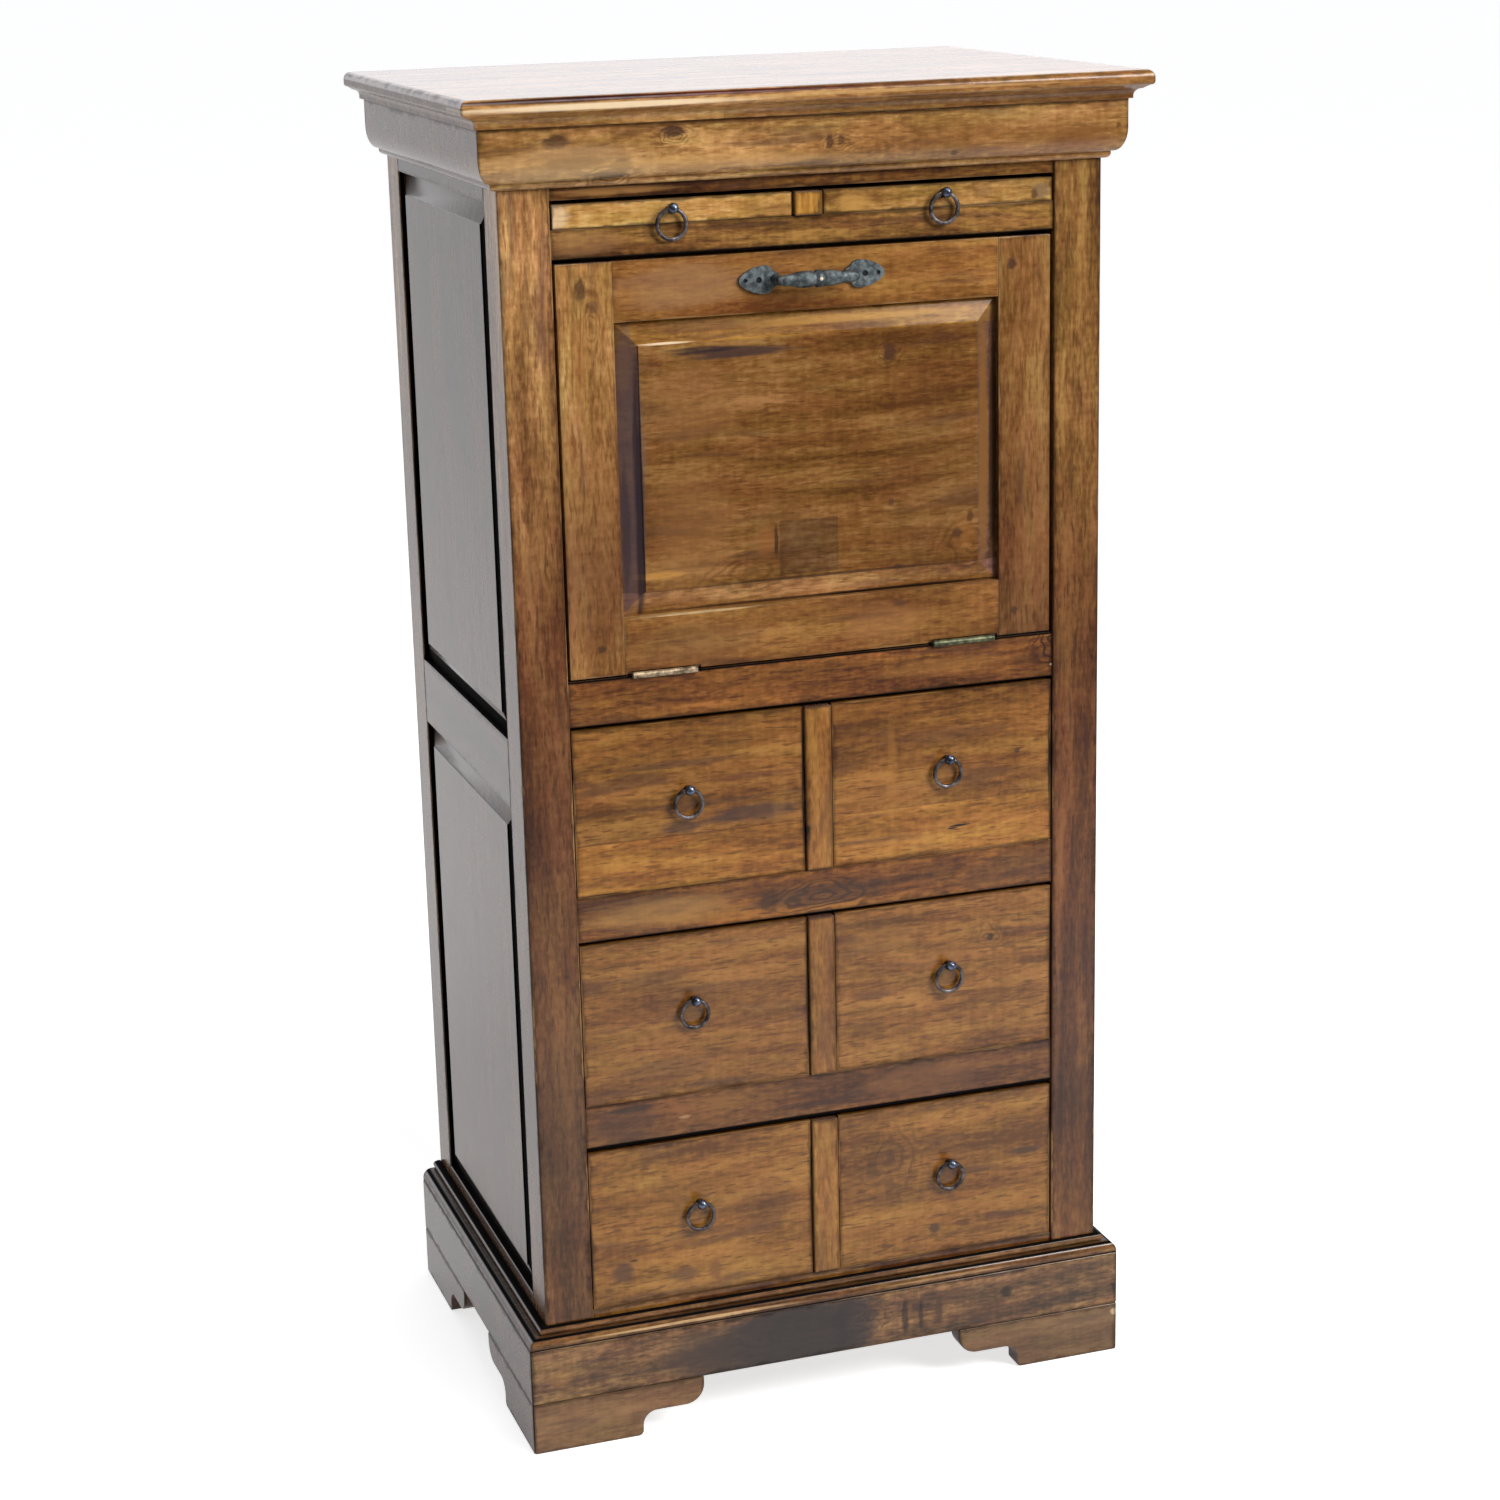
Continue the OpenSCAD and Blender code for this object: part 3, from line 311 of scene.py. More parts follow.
def wood(name, light, middle, dark, along="X", bands=1.0, clouds=0.9, pores=0.55, wander=0.03, seed=0.0,
         edge_stain_and_shade=0.55, edge_reach=0.005, rub_and_highlight=0.35, coat=1.0, spots=(), swirls=(), planks=(), joint=None,
         fade=None, painted_shade_strips=(), face_only=False):
    """Stained and varnished wood with its grain along one axis.
    spots: (x, z, width, height, colour, strength) in mm on the front face, for knots and stain, and also for painted
    highlights and painted shade.
    swirls: (x, z, width, height, strength) of growth lines round a knot, in mm.
    planks: (low x, high x, low z, high z, tint) in mm for rectangles tinted lighter or darker, most for boards cut
    from a lighter or darker plank, some as painted light.
    joint: (height in mm, tint of the board glued on below, strength of the line between).
    fade: for the left and the right half, (z, tint) from the floor up: tints that make the wood darker or paler with
    height.
    painted_shade_strips: (low z, high z) in mm for strips painted near black, a painted shade in creases, joints and
    recesses.
    face_only: True where the planks' tints stay on the front face. Spots and swirls always do."""
    behind_fronts, face_y = -0.177, -0.191
    mark_depth, raggedness = 0.2, 1.1
    ramp_height = 1250
    quarter = math.pi / 2
    made = bpy.data.materials.new(name)
    made.use_nodes = True
    made.node_tree.nodes.clear()
    b = Bench(made.node_tree)
    place = b.node("TexCoord").outputs["Object"]
    turn = b.node("Mapping")
    turn.inputs["Rotation"].default_value = {"X": (0, 0, 0), "Y": (0, 0, -quarter), "Z": (0, quarter, 0)}[along]
    b.put(place, turn.inputs["Vector"])
    number = b.math("ADD", b.node("Attribute", attribute_name="board_seed").outputs["Fac"], seed)
    apart = b.node("SeparateXYZ")
    b.put(place, apart.inputs[0])
    if joint:
        below = b.math("LESS_THAN", apart.outputs["Z"], joint[0] / 1000)
        number = b.math("ADD", number, b.math("MULTIPLY", below, 1.9))
    figure = b.node("Group", node_tree=grain)
    for key, value in (("Vector", turn.outputs[0]), ("Seed", number), ("Light", stain(*light)),
                       ("Middle", stain(*middle)), ("Dark", stain(*dark)), ("Bands", bands), ("Clouds", clouds),
                       ("Pores", pores), ("Wander", wander)):
        b.put(value, figure.inputs[key])
    colour = figure.outputs["Color"]
    deep = stain(*[c * 0.3 for c in dark])
    if joint:
        colour = b.mix(below, colour, b.mix(1.0, colour, joint[1] + (1,), "MULTIPLY"))
        near = b.math("ABSOLUTE", b.math("SUBTRACT", apart.outputs["Z"], joint[0] / 1000))
        colour = b.mix(b.range(near, 0.0003, 0.0009, joint[2], 0.0), colour, deep)
    if fade:
        tones = []
        for stops in fade:
            ramp = b.node("ValToRGB")
            b.put(b.math("DIVIDE", apart.outputs["Z"], ramp_height / 1000), ramp.inputs[0])
            depths = ramp.color_ramp.elements
            depths.remove(depths[1])
            for z, tint in stops[1:]:
                depths.new(z / ramp_height)
            for depth, (z, tint) in zip(depths, stops):
                depth.position, depth.color = z / ramp_height, tint + (1,)
            tones.append(ramp.outputs[0])
        tone = b.mix(b.math("GREATER_THAN", apart.outputs["X"], 0.0), tones[0], tones[1])
        colour = b.mix(1.0, colour, tone, "MULTIPLY")
    # End grain goes darker and grey-violet: partly its own stain, partly a painted reflection of the dim room on the
    # fall panel's left bevel.
    ends = b.node("Attribute", attribute_name="end_grain").outputs["Fac"]
    colour = b.mix(b.math("MULTIPLY", ends, 0.65), colour, stain(76, 58, 62))
    face = b.math("LESS_THAN", apart.outputs["Y"], behind_fronts)
    for low_x, high_x, low_z, high_z, tint in planks:
        inside = b.math("MULTIPLY", b.math("GREATER_THAN", apart.outputs["X"], low_x / 1000),
                        b.math("LESS_THAN", apart.outputs["X"], high_x / 1000))
        for way, edge_z in (("GREATER_THAN", low_z), ("LESS_THAN", high_z)):
            inside = b.math("MULTIPLY", inside, b.math(way, apart.outputs["Z"], edge_z / 1000))
        if face_only:
            inside = b.math("MULTIPLY", inside, face)
        colour = b.mix(inside, colour, b.mix(1.0, colour, tint + (1,), "MULTIPLY"))

    def mark_at(mask, x, z, width, height):
        mark = b.node("Group", node_tree=mask)
        mark.inputs["Centre"].default_value = (x / 1000, face_y, z / 1000)
        mark.inputs["Size"].default_value = (width / 2000, mark_depth, height / 2000)
        return mark

    for x, z, width, height, strength in swirls:
        mark = mark_at(swirl_mask, x, z, width, height)
        amount = b.math("MULTIPLY", b.math("MULTIPLY", mark.outputs["Lines"], face), strength)
        colour = b.mix(amount, colour, stain(*[c * 0.7 for c in dark]))
    for x, z, width, height, tint, strength in spots:
        mark = mark_at(spot_mask, x, z, width, height)
        mark.inputs["Ragged"].default_value = raggedness
        amount = b.math("MULTIPLY", b.math("MULTIPLY", mark.outputs["Spot"], face), strength)
        colour = b.mix(amount, colour, stain(*tint))
    rim = b.node("Group", node_tree=edge)
    rim.inputs["Reach"].default_value = edge_reach
    # Near the arrises the colour darkens, partly stain and partly painted shade in the gaps.
    colour = b.mix(b.math("MULTIPLY", rim.outputs["Edge"], edge_stain_and_shade), colour, deep)
    # Stretches of the arrises go paler, partly wear and partly a painted highlight.
    pale_wear_and_highlight = stain(*[c + (255 - c) * 0.12 for c in light])
    colour = b.mix(b.math("MULTIPLY", rim.outputs["RubAndHighlight"], rub_and_highlight), colour, pale_wear_and_highlight)
    # Painted shade: faces and strips in creases, joints and recesses are painted near black, where shade falls.
    painted_shade = b.node("Attribute", attribute_name="painted_shade").outputs["Fac"]
    for low_z, high_z in painted_shade_strips:
        strip = b.math("MULTIPLY", b.range(apart.outputs["Z"], (low_z - 1) / 1000, low_z / 1000),
                       b.range(apart.outputs["Z"], high_z / 1000, (high_z + 1.5) / 1000, 1.0, 0.0))
        painted_shade = b.math("MAXIMUM", painted_shade, strip)
    colour = b.mix(painted_shade, colour, stain(9, 7, 6))
    shader = b.node("BsdfPrincipled")
    b.put(colour, shader.inputs["Base Color"])
    rough = b.math("MAXIMUM", figure.outputs["Roughness"], b.math("MULTIPLY", painted_shade, 0.9))
    b.put(rough, shader.inputs["Roughness"])
    shader.inputs["Specular IOR Level"].default_value = 0.05
    bare = b.math("MAXIMUM", painted_shade, b.math("MULTIPLY", rim.outputs["Edge"], edge_stain_and_shade))
    b.put(b.math("MULTIPLY", b.math("SUBTRACT", 1.0, bare), coat), shader.inputs["Coat Weight"])
    shader.inputs["Coat Roughness"].default_value = 0.17
    bump = b.node("Bump")
    bump.inputs["Strength"].default_value = 0.3
    bump.inputs["Distance"].default_value = 0.0003
    b.put(figure.outputs["Height"], bump.inputs["Height"])
    b.put(bump.outputs[0], shader.inputs["Normal"])
    b.put(shader.outputs[0], b.node("OutputMaterial").inputs[0])
    return made


def pick_only(chosen):
    bpy.ops.object.select_all(action="DESELECT")
    chosen.select_set(True)
    bpy.context.view_layer.objects.active = chosen


def merged_copy(node, name):
    """A copy of a cut part with its loose triangles joined up."""
    pick_only(frame["nodes"][node])
    bpy.ops.object.duplicate(linked=False)
    piece = bpy.context.active_object
    piece.name = name
    piece.data.name = name
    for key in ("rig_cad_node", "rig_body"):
        del piece[key]
    pick_only(piece)
    bpy.ops.object.mode_set(mode="EDIT")
    bpy.ops.mesh.select_all(action="SELECT")
    bpy.ops.mesh.remove_doubles(threshold=0.00002)
    bpy.ops.mesh.dissolve_limited(angle_limit=math.radians(0.6))
    bpy.ops.object.mode_set(mode="OBJECT")
    return piece


def fit_out(piece, finish, body, node):
    piece.data.materials.clear()
    piece.data.materials.append(finish)
    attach(piece, body)
    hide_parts(node)


def boards(node, name, body, finish, along="X", worn=0.001, steps=2, painted_shade=None, corner=38):
    """Dressed boards: the cut part with its arrises worn round, and each board's own grain."""
    piece = merged_copy(node, name)
    round_off = piece.modifiers.new("worn_arrises", "BEVEL")
    round_off.width = worn
    round_off.segments = steps
    round_off.limit_method = "ANGLE"
    round_off.angle_limit = math.radians(corner)
    bpy.ops.object.modifier_apply(modifier=round_off.name)
    bpy.ops.object.shade_smooth_by_angle(angle=math.radians(35))
    flat = piece.modifiers.new("flat_faces", "WEIGHTED_NORMAL")
    flat.keep_sharp = True
    flat.weight = 100
    bpy.ops.object.modifier_apply(modifier=flat.name)
    mark_boards(piece, along, painted_shade)
    fit_out(piece, finish, body, node)


def mark_boards(piece, along, painted_shade):
    """Writes each board's middle, half size and number on its points, and where its faces
    cross the grain or are painted black as shade."""
    mesh = piece.data
    work = bmesh.new()
    work.from_mesh(mesh)
    work.verts.ensure_lookup_table()
    board = [-1] * len(work.verts)
    sizes = []
    for start in work.verts:
        if board[start.index] >= 0:
            continue
        board[start.index] = len(sizes)
        stack, low, high = [start], start.co.copy(), start.co.copy()
        while stack:
            point = stack.pop()
            low = Vector(map(min, low, point.co))
            high = Vector(map(max, high, point.co))
            for way in point.link_edges:
                other = way.other_vert(point)
                if board[other.index] < 0:
                    board[other.index] = len(sizes)
                    stack.append(other)
        sizes.append(((low + high) / 2, (high - low) / 2))
    work.free()
    seeds = [(c.x * 3.1 + c.y * 1.7 + c.z * 5.3) % 7.0 for c, half_size in sizes]
    axis = "XYZ".index(along)
    ends = [min(1.0, max(0.0, (abs(face.normal[axis]) - 0.15) / 0.25)) for face in mesh.polygons]
    dark = [painted_shade(face.center * 1000, face.normal) if painted_shade else 0.0 for face in mesh.polygons]
    for key, kind, domain, field, values in (
            ("board_mid", "FLOAT_VECTOR", "POINT", "vector", [c for n in board for c in sizes[n][0]]),
            ("board_half", "FLOAT_VECTOR", "POINT", "vector", [c for n in board for c in sizes[n][1]]),
            ("board_seed", "FLOAT", "POINT", "value", [seeds[n] for n in board]),
            ("end_grain", "FLOAT", "FACE", "value", ends),
            ("painted_shade", "FLOAT", "FACE", "value", dark)):
        mesh.attributes.new(key, kind, domain).data.foreach_set(field, values)


def in_side_recess(at, facing):
    """The edges of the legs and rails round the side panels, which are painted black as shade. Places in mm."""
    inner_x, front_y, back_y = 252, -149, 171
    edgeways = abs(facing.x) < 0.3
    return 1.0 if abs(at.x) > inner_x and front_y < at.y < back_y and edgeways else 0.0


leg_wood = wood(
    "leg_wood", (200, 151, 92), (152, 105, 58), (98, 60, 29), "Z", seed=1.0,
    fade=(((160, (0.44, 0.4, 0.43)), (262, (0.27, 0.24, 0.28)), (354, (0.28, 0.24, 0.25)), (445, (0.42, 0.36, 0.33)),
           (582, (0.36, 0.28, 0.33)), (766, (0.48, 0.4, 0.48)), (890, (0.78, 0.8, 1.0)), (1000, (1.25, 1.42, 1.9))),
          ((150, (0.44, 0.36, 0.3)), (240, (0.34, 0.27, 0.26)), (334, (0.32, 0.24, 0.22)), (472, (0.39, 0.28, 0.24)),
           (616, (0.33, 0.24, 0.24)), (762, (0.34, 0.28, 0.27)), (900, (0.57, 0.58, 0.58)),
           (1038, (0.64, 0.7, 0.67)))))
boards("front_posts", "front_legs", "cabinet", leg_wood, "Z", 0.0013, painted_shade=in_side_recess)
boards("back_posts", "back_legs", "cabinet", leg_wood, "Z", 0.0013, painted_shade=in_side_recess)


# Side frames: three rails at each side, tenoned into the legs, with two raised panels held loose
# in their grooves. The recess round each panel is painted black, a painted shade.
side_rail_wood = wood("side_rail_wood", (110, 76, 48), (90, 62, 42), (60, 40, 28), "Y", seed=2.0, edge_stain_and_shade=0.2)
boards("side_rails", "side_frame_rails", "cabinet", side_rail_wood, "Y", painted_shade=in_side_recess)


def in_panel_bevel(at, facing):
    """The two upright bevels of a side panel, painted black as shade."""
    return 1.0 if abs(facing.y) > 0.2 else 0.0


side_panel_wood = wood("side_panel_wood", (110, 76, 48), (90, 62, 42), (60, 40, 28), "Z", seed=3.0, edge_stain_and_shade=0.15,
                       painted_shade_strips=((130, 144), (655, 669)))
boards("side_panels", "side_raised_panels", "cabinet", side_panel_wood, "Z", 0.0003,
       painted_shade=in_panel_bevel)


# Front frame: six rails between the front legs, tenoned into them and flush with their faces.
# They are of the same stained hardwood, each cut from its own board.
# The near-black marks are the dark hearts of knots and, along the edges of drawers, slides and strips, painted shade
# in the gaps.
dark_tint, gold_tint, violet_tint, knot_black_and_gap_shade = (70, 46, 32), (158, 112, 58), (66, 48, 44), (26, 17, 12)
# The rails' thin near-black strips along the gaps are painted shade.
front_rail_wood = wood(
    "front_rail_wood", (152, 106, 54), (109, 70, 33), (66, 36, 16), "X", bands=1.1, seed=4.0,
    planks=((-300, 300, 660, 720, (1.1, 1.0, 0.98)), (-300, 300, 1070, 1100, (1.15, 1.33, 1.55)),
            (-300, 300, 470, 520, (1.02, 0.88, 0.62)), (-300, 300, 275, 325, (0.7, 0.62, 0.6))), rub_and_highlight=0.3,
    painted_shade_strips=((711.6, 712.4), (672, 672.3), (476.5, 476.8), (281, 283.4), (1072, 1072.5)),
    swirls=((4, 492, 150, 46, 0.9), (236, 700, 90, 60, 0.9)),
    spots=((0, 494, 170, 24, dark_tint, 0.6), (-48, 494, 26, 30, knot_black_and_gap_shade, 0.5),
           (-150, 497, 170, 34, (168, 128, 76), 0.45), (-183, 315, 64, 8, knot_black_and_gap_shade, 0.75),
           (-190, 302, 80, 40, (66, 42, 34), 0.5), (100, 302, 150, 40, (150, 100, 60), 0.25),
           (186, 492, 120, 44, dark_tint, 0.35), (-133, 300, 14, 4, (190, 150, 110), 0.5),
           (-222, 704, 10, 8, knot_black_and_gap_shade, 0.6), (-200, 1086, 90, 30, (156, 116, 76), 0.4),
           (-60, 1092, 130, 7, dark_tint, 0.6), (90, 1088, 150, 10, dark_tint, 0.4),
           (-170, 1127, 130, 9, (166, 120, 70), 0.7), (120, 692, 160, 20, gold_tint, 0.3),
           (225, 683, 3, 3, (230, 215, 195), 0.9)))
boards("front_rails", "front_frame_rails", "cabinet", front_rail_wood, "X")


# Upright strips: four narrow strips between the left and right drawers and slides.
# Each is glued on the partition behind it and stops short of the rail above.
# The near-black marks at the strip's left edge are painted shade in the gap beside it.
strip_wood = wood("strip_wood", (172, 124, 64), (141, 96, 44), (106, 64, 24), "Z", bands=0.9, seed=5.0,
                  planks=((-20, 20, 1090, 1130, (1.4, 1.65, 1.5)),), rub_and_highlight=0.2,
                  spots=((-12, 556, 9, 12, knot_black_and_gap_shade, 0.95), (-12, 548, 6, 20, knot_black_and_gap_shade, 0.5),
                         (9, 1104, 3, 16, dark_tint, 0.5)))
boards("muntins", "upright_strips", "cabinet", strip_wood, "Z", 0.0012)


# Inside boards: the floor, shelf and back of the desk space, and the ledges that carry the drawers.
# They are of plain, lightly sealed wood, glued between the frames, and show only in the open desk.
plain_wood = wood("plain_wood", (190, 150, 100), (162, 124, 80), (122, 88, 56), "Y", coat=0.15, seed=6.0,
                  edge_stain_and_shade=0.25)
cross_wood = wood("cross_wood", (180, 138, 88), (150, 110, 68), (110, 76, 46), "X", coat=0.3, seed=6.5,
                  edge_stain_and_shade=0.25)
for node, name, finish, along in (
        ("centre_partition", "centre_board", plain_wood, "Y"), ("slide_guides", "slide_strips", plain_wood, "Y"),
        ("drawer_runners", "drawer_ledges", plain_wood, "Y"), ("floor_cleats", "floor_strips", plain_wood, "Y"),
        ("desk_floor", "writing_floor", cross_wood, "X"), ("desk_ceiling", "desk_roof", cross_wood, "X"),
        ("pigeonholes", "letter_shelf", cross_wood, "X"), ("back_rails", "back_frame_rails", cross_wood, "X"),
        ("back_panel", "back_sheet", plain_wood, "Z"), ("bottom_board", "bottom_sheet", plain_wood, "Y")):
    boards(node, name, "cabinet", finish, along, 0.0005, 1)


# Plinth: three mitred boards of darker hardwood on bracket feet, with a moulded cap under the
# cabinet. Each foot is two mitred brackets glued round a corner block.
plinth_wood = wood(
    "plinth_wood", (160, 122, 82), (106, 75, 50), (54, 38, 28), "X", seed=7.0,
    swirls=((40, 76, 60, 40, 0.5),),
    spots=((-50, 70, 220, 84, (46, 40, 42), 0.9), (-20, 74, 130, 80, (46, 40, 40), 0.7),
           (22, 76, 60, 74, (40, 36, 40), 0.7), (-130, 72, 90, 60, (66, 50, 42), 0.6),
           (72, 73, 9, 44, knot_black_and_gap_shade, 0.8), (88, 71, 6, 36, knot_black_and_gap_shade, 0.7), (106, 73, 10, 36, dark_tint, 0.8),
           (62, 72, 8, 40, (116, 84, 56), 0.5), (175, 80, 16, 14, knot_black_and_gap_shade, 0.8), (150, 68, 60, 24, dark_tint, 0.4),
           (-262, 72, 30, 26, gold_tint, 0.3), (270, 78, 40, 16, dark_tint, 0.4)))
boards("plinth_boards", "plinth", "cabinet", plinth_wood, "X", 0.0013)
# The cap's pale strips along its nose are a painted highlight; its dark strips are painted shade in the quirks and
# where it meets the post and the plinth.
cap_wood = wood("cap_wood", (150, 110, 68), (108, 75, 45), (66, 42, 22), "X", bands=0.7, clouds=0.5, seed=8.0,
                painted_shade_strips=((100.5, 101.9), (110.6, 111.6), (118.6, 119.5)),
                spots=((-130, 106, 240, 3.5, (224, 186, 138), 0.7), (120, 106, 160, 3, (190, 150, 104), 0.5)))
boards("base_moulding", "base_cap", "cabinet", cap_wood, "X", 0.0003)
foot_wood = wood("foot_wood", (142, 109, 77), (121, 90, 62), (94, 66, 44), "X", seed=9.0,
                 planks=((-320, 0, -10, 60, (1.15, 1.13, 1.08)), (0, 320, -10, 60, (0.8, 0.8, 0.82))),
                 spots=((287, 40, 10, 8, (214, 182, 142), 0.8),))
boards("front_feet", "front_bracket_feet", "cabinet", foot_wood, "X", 0.0012)
boards("back_feet", "back_bracket_feet", "cabinet", foot_wood, "X", 0.0012)


# Cornice and top: a hardwood moulding, mitred round three sides under the top, and one wide
# board glued over it with a rounded nose and a cove worked on its edge.
# The broad pale strips along the cornice's lower left are a painted highlight.
cornice_wood = wood(
    "cornice_wood", (208, 167, 112), (155, 114, 66), (104, 68, 34), "X", bands=0.6, clouds=1.0, seed=10.0,
    swirls=((-180, 1141, 90, 36, 0.6), (-123, 1172, 60, 30, 0.5), (22, 1158, 60, 26, 0.45)),
    spots=((-223, 1170, 30, 16, dark_tint, 0.85), (-123, 1174, 28, 13, dark_tint, 0.9),
           (14, 1159, 9, 16, dark_tint, 0.8), (24, 1160, 8, 12, dark_tint, 0.7), (-178, 1141, 46, 9, knot_black_and_gap_shade, 0.95),
           (-168, 1148, 24, 18, dark_tint, 0.8), (-190, 1160, 60, 22, dark_tint, 0.4),
           (127, 1144, 9, 6, knot_black_and_gap_shade, 0.85), (279, 1160, 6, 6, knot_black_and_gap_shade, 0.6),
           (-215, 1152, 190, 40, (210, 172, 122), 0.38), (190, 1157, 260, 50, (116, 74, 36), 0.4),
           (-90, 1148, 260, 18, (196, 152, 92), 0.45), (-40, 1180, 460, 5, (96, 62, 32), 0.6),
           (240, 1150, 90, 30, (110, 66, 30), 0.4)))
boards("cornice", "cornice_moulding", "cabinet", cornice_wood, "X", 0.0003)
# The pale strips along the nose, strongest at the left, are a painted highlight.
top_wood = wood("top_wood", (186, 146, 96), (142, 104, 62), (98, 60, 26), "X", seed=11.0,
                planks=((-400, 400, 1180, 1206.6, (1.4, 1.4, 1.35)), (-400, 400, 1206.6, 1210, (0.92, 0.94, 0.9)),
                        (-80, 400, 1180, 1206.6, (0.8, 0.78, 0.78)), (60, 400, 1180, 1206.6, (0.8, 0.76, 0.72))),
                coat=0.76,
                spots=((-130, 1204.4, 560, 4.5, (84, 26, 12), 1.0), (-220, 1204.4, 240, 6, (60, 10, 6), 0.9),
                       (-190, 1198.5, 330, 7, (248, 226, 190), 0.75),
                       (60, 1200, 420, 4, (214, 178, 122), 0.35)))
boards("top_board", "top", "cabinet", top_wood, "X", 0.0003)


# Fall front: two stiles and two rails of hardwood, glued round one raised panel that sits loose in
# their grooves. It hangs on two butt hinges at its foot and opens level to write on.
stile_wood = wood(
    "stile_wood", (176, 134, 80), (144, 101, 54), (102, 62, 24), "Z", seed=12.0, wander=0.06, edge_stain_and_shade=0.3,
    planks=((150, 240, 700, 1080, (0.7, 0.69, 0.74)),), bands=0.8,
    fade=(((722, (0.95, 0.93, 1.05)), (756, (0.7, 0.64, 0.76)), (808, (0.6, 0.55, 0.72)), (870, (0.85, 0.85, 1.0)),
           (930, (1.2, 1.3, 1.7)), (1016, (1.5, 1.75, 2.2))),
          ((744, (0.67, 0.6, 0.63)), (798, (0.78, 0.67, 0.73)), (852, (0.85, 0.8, 0.87)), (906, (1.07, 1.05, 1.2)),
           (960, (1.2, 1.25, 1.35)))),
    swirls=((-196, 1016, 44, 120, 0.35),),
    spots=((-202, 1047, 12, 26, dark_tint, 0.8), (-192, 1032, 16, 14, dark_tint, 0.5),
           (187, 1045, 12, 14, dark_tint, 0.9), (-194, 739, 9, 9, dark_tint, 0.85),
           (189, 737, 9, 9, dark_tint, 0.85), (-204, 1000, 20, 70, (150, 96, 52), 0.4)))
boards("fall_stiles", "fall_frame_stiles", "fall", stile_wood, "Z", 0.0006)
# The thin pale strip along the lower rail's top arris is a painted highlight.
fall_rail_wood = wood(
    "fall_rail_wood", (164, 120, 68), (132, 89, 45), (94, 55, 22), "X", seed=13.0, bands=0.9, edge_stain_and_shade=0.3,
    spots=((-110, 736, 150, 44, (98, 68, 42), 0.4), (64, 738, 100, 44, (156, 108, 62), 0.5),
           (-110, 1045, 150, 50, (156, 118, 84), 0.5), (-105, 763.6, 130, 3, (210, 178, 132), 0.8),
           (80, 754, 16, 8, dark_tint, 0.6), (40, 745, 90, 8, dark_tint, 0.35)))
boards("fall_rails", "fall_frame_rails", "fall", fall_rail_wood, "X", 0.0006)
# The bottom bevel tinted pale grey is painted light, and the short pale strip at the field's top left edge a painted
# highlight. The dark lines at the bevels' foot, under the field's lower edge and down the right bevel are painted
# shade; the grey-violet down the left bevel is a painted reflection, with a painted shadow line beside it.
fall_panel_wood = wood(
    "fall_panel_wood", (150, 112, 70), (115, 78, 40), (80, 48, 20), "X", seed=14.0, coat=0.25, face_only=True,
    planks=((-176, 176, 760, 785, (1.8, 1.85, 2.1)), (-176, 176, 996.5, 1020, (1.25, 1.24, 0.75)),
            (-32, 22, 789, 837, (0.66, 0.7, 0.85))),
    edge_stain_and_shade=0.8, edge_reach=0.007, rub_and_highlight=0.2,
    swirls=((-60, 792, 190, 70, 0.35), (154, 800, 130, 96, 0.42), (72, 976, 50, 40, 0.35)),
    spots=((-112, 835, 100, 150, (158, 112, 70), 0.3), (-106, 945, 110, 90, (152, 108, 68), 0.3),
           (112, 860, 120, 250, (92, 60, 32), 0.3), (-30, 820, 90, 90, (96, 62, 34), 0.3),
           (-66, 986, 124, 13, violet_tint, 0.9), (-96, 990, 80, 8, (44, 34, 38), 0.8),
           (72, 976, 16, 20, dark_tint, 0.85), (-44, 820, 22, 34, (140, 88, 46), 0.45),
           (-35, 820, 5, 34, knot_black_and_gap_shade, 0.7), (140, 812, 24, 40, (142, 92, 48), 0.4),
           (134, 812, 12, 12, dark_tint, 0.8), (146, 826, 8, 16, dark_tint, 0.7),
           (142, 800, 14, 6, (176, 128, 70), 0.3), (77, 787, 12, 7, dark_tint, 0.85),
           (72, 845, 8, 10, dark_tint, 0.7), (-140, 799, 54, 8, (196, 142, 72), 0.55),
           (-130, 997.5, 56, 2.5, (226, 204, 172), 0.9), (40, 1008, 260, 9, (186, 140, 66), 0.5),
           (-96, 1010, 130, 14, (96, 62, 40), 0.5), (0, 766.5, 400, 4, (60, 40, 28), 0.9),
           (90, 766.5, 220, 5, (26, 18, 14), 0.9), (20, 786.5, 320, 3.5, (58, 36, 24), 0.7),
           (-164, 890, 30, 330, (94, 77, 78), 0.65), (-157, 860, 9, 310, (42, 36, 44), 0.8),
           (-168, 840, 9, 150, (62, 52, 60), 0.6), (-166, 980, 16, 60, (110, 84, 66), 0.5),
           (171, 890, 13, 320, (46, 30, 18), 0.9), (160, 890, 13, 330, (116, 78, 36), 0.85)))
boards("fall_panel", "fall_raised_panel", "fall", fall_panel_wood, "X", 0.0012, corner=12)


